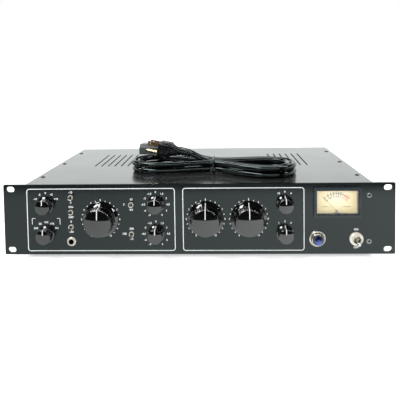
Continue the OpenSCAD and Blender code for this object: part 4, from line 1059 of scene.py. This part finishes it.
# Height at which a knob's wall starts, what its height loses at both ends, and the radius of its edge.
LARGE_WALL = (8.8, 10.2, 1.3)
SMALL_WALL = (4.2, 5.1, 0.8)
# How fast the flutes of a wall grow at its foot and fade at its top.
FLUTE_GROWTH = 6
LARGE_FADE = 5
SMALL_FADE = 4
# How far the face starts in from the cap's radius.
LARGE_FACE = 1.5
SMALL_FACE = 1.0
FACE_STEP = 0.02
POINTER_START = 0.24
POINTER_LIFT = 0.05
SKIRT_MARGIN = 1.1
SHAFT_RADIUS = 3.175
SHAFT_TOP = 8.0


class RACK_OT_knobs(bpy.types.Operator):
    """Turns the fluted knobs with their domed faces and white pointer lines"""

    bl_idname = "rack.knobs"
    bl_label = "Knobs"

    def execute(self, context):
        control = settings().control
        for name in KNOBS:
            big = name in BIG_KNOBS
            profile = self.skirted(control) if big else self.small(control)
            flutes = control.big_flutes if big else control.small_flutes
            points, faces = turned(profile, flutes * SIDES_PER_FLUTE, flutes, FLUTE_DEPTH)
            label = name.replace("_knob", "")
            shape = on_panel(points, *PLACES[name]), faces
            piece = make_piece(
                label + "_cap", shape, "knob_phenolic", name, KNOB_SHARP_ANGLE
            )
            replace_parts(piece, name)
            self.pointer(label, profile, name, control, big)
            self.shaft(label, name)
        return {"FINISHED"}

    def skirted(self, control):
        """Half section of a large knob: underside, flared skirt, fluted wall, round edge and domed face."""
        rs, rc, rise = control.skirt_radius, control.cap_radius, control.big_rise
        top = control.big_height - rise
        start, ends, round_off = LARGE_WALL
        skirt = [(rs - inset, height, share) for inset, height, share in SKIRT_ROWS]
        side = [
            (rc - WALL_DRAFT * t, start + (top - ends) * t, min(1, LARGE_FADE * (1 - t)))
            for t in WALL_SHARES
        ]
        edge = rounded_corner(rc - WALL_DRAFT, top, round_off, 8)
        face = dome(rc - LARGE_FACE, top + FACE_STEP, rise - FACE_STEP, 10)
        return UNDERSIDE + skirt + side + edge + face

    def small(self, control):
        """Half section of a small knob: underside, foot, fluted wall, round edge and domed face."""
        rf, rc, rise = control.foot_radius, control.small_radius, control.small_rise
        top = control.small_height - rise
        start, ends, round_off = SMALL_WALL
        foot = [(rf - inset, height) for inset, height in FOOT_ROWS]
        foot += [(rc + outset, height) for outset, height in FOOT_FILLET]
        side = [
            (rc - WALL_DRAFT * t, start + (top - ends) * t, min(1, FLUTE_GROWTH * t, SMALL_FADE * (1 - t)))
            for t in WALL_SHARES
        ]
        edge = rounded_corner(rc - WALL_DRAFT, top, round_off, 6)
        face = dome(rc - SMALL_FACE, top + FACE_STEP, rise - FACE_STEP, 9)
        return UNDERSIDE + foot + side + edge + face

    def pointer(self, label, profile, body, control, big):
        """White line laid over the profile at twelve o'clock, from the face over the edge and down."""
        rows = np.array([p[:2] for p in profile])
        rows = rows[int(rows[:, 0].argmax()) + 1:]
        reach = control.cap_radius if big else control.small_radius
        foot = control.skirt_radius - SKIRT_MARGIN if big else control.foot_radius
        rows = rows[(rows[:, 0] > POINTER_START * reach) & (rows[:, 0] < foot)]
        ahead = np.gradient(rows, axis=0)
        out = np.stack([ahead[:, 1], -ahead[:, 0]], 1) / np.linalg.norm(ahead, axis=1, keepdims=True)
        line = rows + POINTER_LIFT * out
        half = control.pointer_width / 2
        points = np.stack([np.insert(line, 0, side * half, axis=1) for side in (-1, 1)])
        faces = grid_faces(2, len(line), False)[:, ::-1]
        shape = on_panel(points, *PLACES[body]), faces
        make_piece(label + "_pointer", shape, "pointer_paint", body, outward=False)

    def shaft(self, label, body):
        """Steel shaft behind the knob, seen only with the case open."""
        back = PANEL_FRONT - box_mm(body)[1][1]
        rows = [(AXIS_RADIUS, back), (SHAFT_RADIUS, back)]
        rows += [(SHAFT_RADIUS, SHAFT_TOP), (AXIS_RADIUS, SHAFT_TOP)]
        points, faces = turned(rows, SMALL_SIDES)
        shape = on_panel(points, *PLACES[body]), faces
        make_piece(label + "_shaft", shape, "plated_steel", body)


# Switches, jack and screws

JACK_PLACE = (-157.0, -27.5)
LINER_OUT = 3.24
LINER_IN = 3.18
LINER_BACK = -24.0
LINER_FLOOR = -23.0
LINER_INSET = 0.5
LINER_SIDES = 40
# Half section of the black cup of painted shade in a panel screw's socket: radius and height.
SOCKET_SHADE_CUP = [
    (AXIS_RADIUS, 0.29), (1.57, 0.29), (1.57, 0.74), (1.45, 0.74), (1.45, 0.34), (AXIS_RADIUS, 0.34),
]
SOCKET_SIDES = 6


class RACK_OT_switches(bpy.types.Operator):
    """Finishes the toggles, jack, power switch and screws, lines the jack and puts painted shade, black
    cups, in the screws' sockets
    """

    bl_idname = "rack.switches"
    bl_label = "Switches and jack"

    def execute(self, context):
        dress("nickel", "power_switch_body", "instrument_jack")
        dress("plated_steel", "panel_screws")
        dress("bushing", "toggle_bodies", "dress_nuts")
        dress("chrome", "power_lever")
        dress("toggle_black", *TOGGLES)
        self.liner()
        self.sockets()
        return {"FINISHED"}

    def liner(self):
        """Black tube in the jack's bore, closed behind."""
        front = PANEL_FRONT - box_mm("instrument_jack")[0][1] - LINER_INSET
        rows = [(AXIS_RADIUS, LINER_BACK), (LINER_OUT, LINER_BACK), (LINER_OUT, front)]
        rows += [(LINER_IN, front), (LINER_IN, LINER_FLOOR), (AXIS_RADIUS, LINER_FLOOR)]
        points, faces = turned(rows, LINER_SIDES)
        shape = on_panel(points, *JACK_PLACE), faces
        make_piece("jack_liner", shape, "black_plastic")

    def sockets(self):
        """Painted shade in the hexagon sockets of the panel screws: six-sided black cups."""
        low, high = box_mm("panel_screws")
        x = (low[0] + high[0]) / 2
        inset = (high[0] - low[0]) / 2
        points, faces = turned(SOCKET_SHADE_CUP, SOCKET_SIDES)
        points = points[..., [1, 0, 2]]
        shapes = [(on_panel(points, x, z), faces) for z in (low[2] + inset, high[2] - inset)]
        # The black cups are painted shade in the sockets.
        make_piece("screw_sockets", join(shapes), "black_screw")


# Lamp and meter

# Painted light and shade in the jewel's colour: how much its lit middle is raised over its blue,
# how far its edge is darkened, where that middle lies in shares of the jewel's height, and its half width
# and half height in the same shares.
JEWEL_LIGHT_LIFT = (20, 7, 4)
JEWEL_EDGE_SHADE = 0.4
JEWEL_MIDDLE = 0.15
JEWEL_HALF = (0.75, 0.6)
# Painted shade on the dial card: how much darker and yellower its edges are, and the half sizes of its pale
# middle in millimetres.
DIAL_EDGE_SHADE = (0.80, 0.72, 0.38)
DIAL_HALF = (31.0, 24.0)
SCALE_RADIUS = 19.6
SCALE_LIFT = 0.06
# Numbers on the dial by their angle from straight up, the angles of the ticks between them, and the ends of
# the scale and of its dark part.
MARKS = (
    (-44, "20"), (-29, "10"), (-19, "7"), (-10, "5"), (-1, "3"), (7, "2"), (14, "1"), (22, "0"),
    (30, "1"), (37, "2"), (44, "3"),
)
FINE_MARKS = (-39, -34, -24, -14.5, -5.5, 3, 10.5, 18)
SCALE_END = 44
DARK_END = 20.5
MARK_LENGTH = 4.2
MARK_WIDTH = 0.85
DIAL_TEXT = 3.3
TEXT_DROP = 1.9
FINE_START = 1.4
FINE_END = 3.2
FINE_WIDTH = 0.4
RED_WIDTH = 0.9
# Two short lines beside the pivot: their left and right ends, their height over it and their width.
DIAL_LINES = ((-18.3, -9.0), (7.7, 17.4))
DIAL_LINE_UP = 5.0
DIAL_LINE_WIDTH = 0.55
NEEDLE_INSET = 0.4
NEEDLE_HALF = 0.14
NEEDLE_TAPER = 0.06
NEEDLE_DEPTH = 0.15
HUB_ROWS = [(AXIS_RADIUS, -0.5), (1.0, -0.5), (1.0, 0.3), (0.7, 0.55), (AXIS_RADIUS, 0.6)]
HUB_SIDES = 24
COVER_HALF = 4.85
COVER_HEIGHT = 2.0
COVER_MIDDLE = 0.4
COVER_LIFT = 1.2
COVER_FOOT = 0.2
# Rows of the pivot's cover: share of its outline and height.
COVER_ROWS = ((AXIS_RADIUS, 0.0), (1.0, 0.0), (1.0, 0.6), (0.94, 0.85), (0.8, 1.0), (AXIS_RADIUS, 1.1))


class RACK_OT_lamp(bpy.types.Operator):
    """Finishes the pilot lamp and paints light and shade into the jewel's colour"""

    bl_idname = "rack.lamp"
    bl_label = "Pilot lamp"

    def execute(self, context):
        dress("nickel", "lamp_bezel")
        blue = settings().finish.jewel_blue
        low, high = box_mm("lamp_jewel")
        size = high[2] - low[2]
        # Painted light and shade: a lit middle low in the jewel, lighter than its blue, and a darkened edge.
        inner = [c * lift for c, lift in zip(blue, JEWEL_LIGHT_LIFT)]
        outer = shade(blue, JEWEL_EDGE_SHADE)[:3]
        place = ((low[0] + high[0]) / 2, low[2] + JEWEL_MIDDLE * size)
        half = [share * size for share in JEWEL_HALF]
        pool("jewel_glass", inner, outer, place, half, ("Base Color",))
        dress("jewel_glass", "lamp_jewel")
        return {"FINISHED"}


class RACK_OT_meter(bpy.types.Operator):
    """Prints the dial and finishes the meter's bezel, pane and needle"""

    bl_idname = "rack.meter"
    bl_label = "Meter"

    def execute(self, context):
        dress("bezel_plastic", "meter_bezel")
        dress("pane", "meter_window")
        middle = PLACES["meter_needle"]
        dial = PANEL_FRONT - box_mm("meter_dial")[0][1]
        self.card()
        self.scale(middle, dial)
        self.cover(middle, dial)
        self.needle(middle)
        return {"FINISHED"}

    def card(self):
        """Cream dial card with a faint painted glow, palest below its middle and, as painted shade, yellower
        and darker to its edges.
        """
        low, high = box_mm("meter_dial")
        window = box_mm("meter_window")
        cream = settings().finish.dial_cream
        edge = [c * share for c, share in zip(cream, DIAL_EDGE_SHADE)]
        place = ((low[0] + high[0]) / 2, (window[0][2] + 2 * window[1][2]) / 3)
        # Painted shade darkens and yellows the card's edges, in its colour and in its painted glow.
        pool("dial_card", cream, edge, place, DIAL_HALF, ("Base Color", "Emission Color"))
        dress("dial_card", "meter_dial")

    def scale(self, middle, dial):
        """Arc with ticks and numbers about the pivot: black up to the zero mark and red beyond it."""
        dark, warm = [], []
        for angle, text in MARKS:
            ink = dark if angle < DARK_END else warm
            way = way_at(angle)
            ink.append(ribbon([way * SCALE_RADIUS, way * (SCALE_RADIUS + MARK_LENGTH)], MARK_WIDTH))
            ink.append(lettering(text, DIAL_TEXT, *(way * (SCALE_RADIUS - TEXT_DROP))))
        for angle in FINE_MARKS:
            way = way_at(angle)
            path = [way * (SCALE_RADIUS + FINE_START), way * (SCALE_RADIUS + FINE_END)]
            dark.append(ribbon(path, FINE_WIDTH))
        arcs = ((-SCALE_END, DARK_END, FINE_WIDTH, dark), (DARK_END, SCALE_END, RED_WIDTH, warm))
        for start, end, width, ink in arcs:
            a = np.radians(np.linspace(start, end, 30))
            ink.append(ribbon(np.stack([np.sin(a), np.cos(a)], 1) * (SCALE_RADIUS + FINE_START), width))
        for x0, x1 in DIAL_LINES:
            dark.append(ribbon([(x0, DIAL_LINE_UP), (x1, DIAL_LINE_UP)], DIAL_LINE_WIDTH))
        print_piece("dial_print", dark, dial + SCALE_LIFT, middle, "dial_black")
        print_piece("dial_red_zone", warm, dial + SCALE_LIFT, middle, "dial_red")

    def cover(self, middle, dial):
        """Half-moon over the pivot at the window's lower edge: a round segment with a rounded front."""
        half, height = COVER_HALF, COVER_HEIGHT
        r = (half * half + height * height) / (2 * height)
        end = math.asin(half / r)
        a = np.linspace(-end, end, 25)
        arch = np.stack([r * np.sin(a), r * np.cos(a) - (r - height)], 1)
        base = np.stack([np.linspace(half, -half, 25), 0 * a], 1)[1:-1]
        outline = np.concatenate([arch, base])
        centre = np.array([0.0, height * COVER_MIDDLE])
        rows = [np.insert(centre + (outline - centre) * share, 2, out, axis=1) for share, out in COVER_ROWS]
        points = np.stack(rows) + np.array([0, 0, dial + COVER_LIFT])
        foot = box_mm("meter_window")[0][2] + COVER_FOOT
        shape = on_panel(points, middle[0], foot), grid_faces(len(rows), len(outline), True)
        make_piece("pivot_cover", shape, "dial_black")

    def needle(self, middle):
        """Slender needle on a small hub, lying where the pivot's own needle lies, tapered to its tip."""
        low, high = box_mm("meter_needle")
        tip = np.array([low[0] + NEEDLE_INSET, high[2] - NEEDLE_INSET]) - middle
        way = tip / np.linalg.norm(tip)
        side = np.array([-way[1], way[0]])
        along = np.linspace(0.0, 1.0, 12)[:, None]
        half = NEEDLE_HALF - NEEDLE_TAPER * along
        depth = PANEL_FRONT - (low[1] + high[1]) / 2
        lines = [
            np.insert(tip * along + side * half * u, 2, depth + NEEDLE_DEPTH * w, axis=1)
            for u, w in ((-1, -1), (1, -1), (1, 1), (-1, 1))
        ]
        points = np.stack(lines, 1)
        ends = np.repeat(points[[0, -1]].mean(1, keepdims=True), 4, 1)
        points = np.concatenate([ends[:1], points, ends[1:]])
        hub, hub_faces = turned(HUB_ROWS, HUB_SIDES)
        hub = hub + np.array([0, 0, depth])
        verts, faces = join([(points, grid_faces(len(points), 4, True)), (hub, hub_faces)])
        shape = on_panel(verts, *middle), faces
        piece = make_piece("needle", shape, "dial_black", "meter_needle")
        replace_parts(piece, "meter_needle")


# Print on the panel

# Left and right sides of the outlines, their lower and upper sides, and the radius of their corners.
OUTLINES = ((-211.8, -27.8), (-17.6, 130.8))
OUTLINE_LOW = -39.4
OUTLINE_HIGH = 38.4
OUTLINE_CORNER = 3.2
PRINT_LIFT = 0.04
TONE_NUMBERS = ("-9", "-6", "-4.5", "-3", "-1.5", "0", "1.5", "3", "4.5", "6", "9")
# Numbers round the small knobs: the knob, half its travel in degrees, the ring's radius and the numbers.
NUMBER_RINGS = (
    ("gain_switch_knob", 60, 15.0, ("-10", "-5", "0", "+5", "+10")),
    ("source_switch_knob", 60, 15.0, ("500", "2K", "15K", "47K", "2M")),
    ("treble_knob", 150, 15.4, TONE_NUMBERS),
    ("bass_knob", 150, 15.4, TONE_NUMBERS),
    ("meter_select_knob", 30, 15.0, ("10", "0", "4")),
    ("mode_knob", 30, 15.0, ("1", "2", "3")),
)
RING_TEXT = 3.4
# Print at the toggles: over, under and left of each.
TOGGLE_PRINT = (
    ("pad_toggle", "-15", "0", ""),
    ("phantom_toggle", "ON", "OFF", ""),
    ("polarity_toggle", "0", "180", ""),
    ("treble_band_toggle", "10", "4.5", "7"),
    ("bass_band_toggle", "200", "70", "100"),
)
TOGGLE_TEXT = 3.6
TOGGLE_UP = 6.4
TOGGLE_LEFT = 9.0
POWER_TEXT = 3.4
POWER_UP = 11.2
# A large knob's ring: its marks, the angle between them, and the sizes of its long tick, dots and numbers.
RING_MARKS = 21
RING_STEP = 15
LONG_TICK = (-0.7, 2.2)
LONG_TICK_WIDTH = 1.0
DOT_RADIUS = 0.7
TICK_TEXT = 3.1
TICK_TEXT_OUT = 0.4
# Brackets at the source switch: side and foot of each, then their inner and outer reach, heights and width.
BRACKETS = ((-1, 12.5), (1, 12.0))
BRACKET_IN = 13.6
BRACKET_OUT = 17.5
BRACKET_UP = 19.8
BRACKET_TOP = 20.1
BRACKET_WIDTH = 0.7


class RACK_OT_print(bpy.types.Operator):
    """Prints the outlines, tick rings and numbers on the panel"""

    bl_idname = "rack.print"
    bl_label = "Panel print"

    def execute(self, context):
        control = settings().control
        shapes = []
        for x0, x1 in OUTLINES:
            path = round_rect(x0, x1, OUTLINE_LOW, OUTLINE_HIGH, OUTLINE_CORNER)
            shapes.append(ribbon(path, control.line_width, True))
        for name in BIG_KNOBS:
            shapes += self.ring(PLACES[name], control.tick_radius)
        for name, half, radius, texts in NUMBER_RINGS:
            for text, angle in zip(texts, np.linspace(-half, half, len(texts))):
                shapes.append(lettering(text, RING_TEXT, *(PLACES[name] + radius * way_at(angle))))
        shapes += self.brackets(*PLACES["source_switch_knob"])
        for name, over, under, beside in TOGGLE_PRINT:
            x, z = PLACES[name]
            shapes.append(lettering(over, TOGGLE_TEXT, x, z + TOGGLE_UP))
            shapes.append(lettering(under, TOGGLE_TEXT, x, z - TOGGLE_UP))
            if beside:
                shapes.append(lettering(beside, TOGGLE_TEXT, x - TOGGLE_LEFT, z))
        x, z = PLACES["power_lever"]
        shapes.append(lettering("ON", POWER_TEXT, x, z + POWER_UP))
        shapes.append(lettering("OFF", POWER_TEXT, x, z - POWER_UP))
        print_piece("panel_print", shapes, PRINT_LIFT, (0, 0), "print_ink")
        return {"FINISHED"}

    def ring(self, at, radius):
        """Marks on a ring about the top: a long tick at the top, and dots and small numbers in turn."""
        shapes = []
        top = RING_MARKS // 2
        for i in range(RING_MARKS):
            way = way_at((i - top) * RING_STEP)
            if i == top:
                shapes.append(ribbon([at + way * (radius + out) for out in LONG_TICK], LONG_TICK_WIDTH))
            elif i % 2:
                shapes.append(dot(*(at + way * radius), DOT_RADIUS))
            else:
                shapes.append(lettering(str(i // 2), TICK_TEXT, *(at + way * (radius + TICK_TEXT_OUT))))
        return shapes

    def brackets(self, x, z):
        """Brackets left and right of a stepped switch's upper numbers."""
        shapes = []
        for side, foot in BRACKETS:
            near, far = x + side * BRACKET_IN, x + side * BRACKET_OUT
            shapes.append(ribbon([(near, z + BRACKET_UP), (far, z + BRACKET_UP)], BRACKET_WIDTH))
            shapes.append(ribbon([(far, z + BRACKET_TOP), (far, z + foot)], BRACKET_WIDTH))
        return shapes


class RACK_PT_panel(bpy.types.Panel):
    """Lists the steps that dress the rack compressor"""

    bl_idname = "RACK_PT_panel"
    bl_label = "Rack compressor"
    bl_space_type = "VIEW_3D"
    bl_region_type = "UI"
    bl_category = "Rack"

    def draw(self, context):
        for operator in OPERATORS:
            self.layout.operator(operator.bl_idname)


SETTINGS = (FinishSettings, ControlSettings, LeadSettings, StageSettings, RackSettings)
OPERATORS = (
    RACK_OT_stage, RACK_OT_lead, RACK_OT_case, RACK_OT_inside, RACK_OT_rear, RACK_OT_knobs,
    RACK_OT_switches, RACK_OT_lamp, RACK_OT_meter, RACK_OT_print,
)


def register():
    """Registers the settings, operators and panel."""
    for cls in SETTINGS + OPERATORS + (RACK_PT_panel,):
        bpy.utils.register_class(cls)
    bpy.types.Scene.rack = PointerProperty(type=RackSettings)


def unregister():
    """Takes away what register added."""
    del bpy.types.Scene.rack
    for cls in reversed(SETTINGS + OPERATORS + (RACK_PT_panel,)):
        bpy.utils.unregister_class(cls)


def main():
    """Dresses the frame."""
    register()
    bpy.ops.rack.stage()
    bpy.ops.rack.lead()
    bpy.ops.rack.case()
    bpy.ops.rack.inside()
    bpy.ops.rack.rear()
    bpy.ops.rack.knobs()
    bpy.ops.rack.switches()
    bpy.ops.rack.lamp()
    bpy.ops.rack.meter()
    bpy.ops.rack.print()


if __name__ == "__main__":
    main()
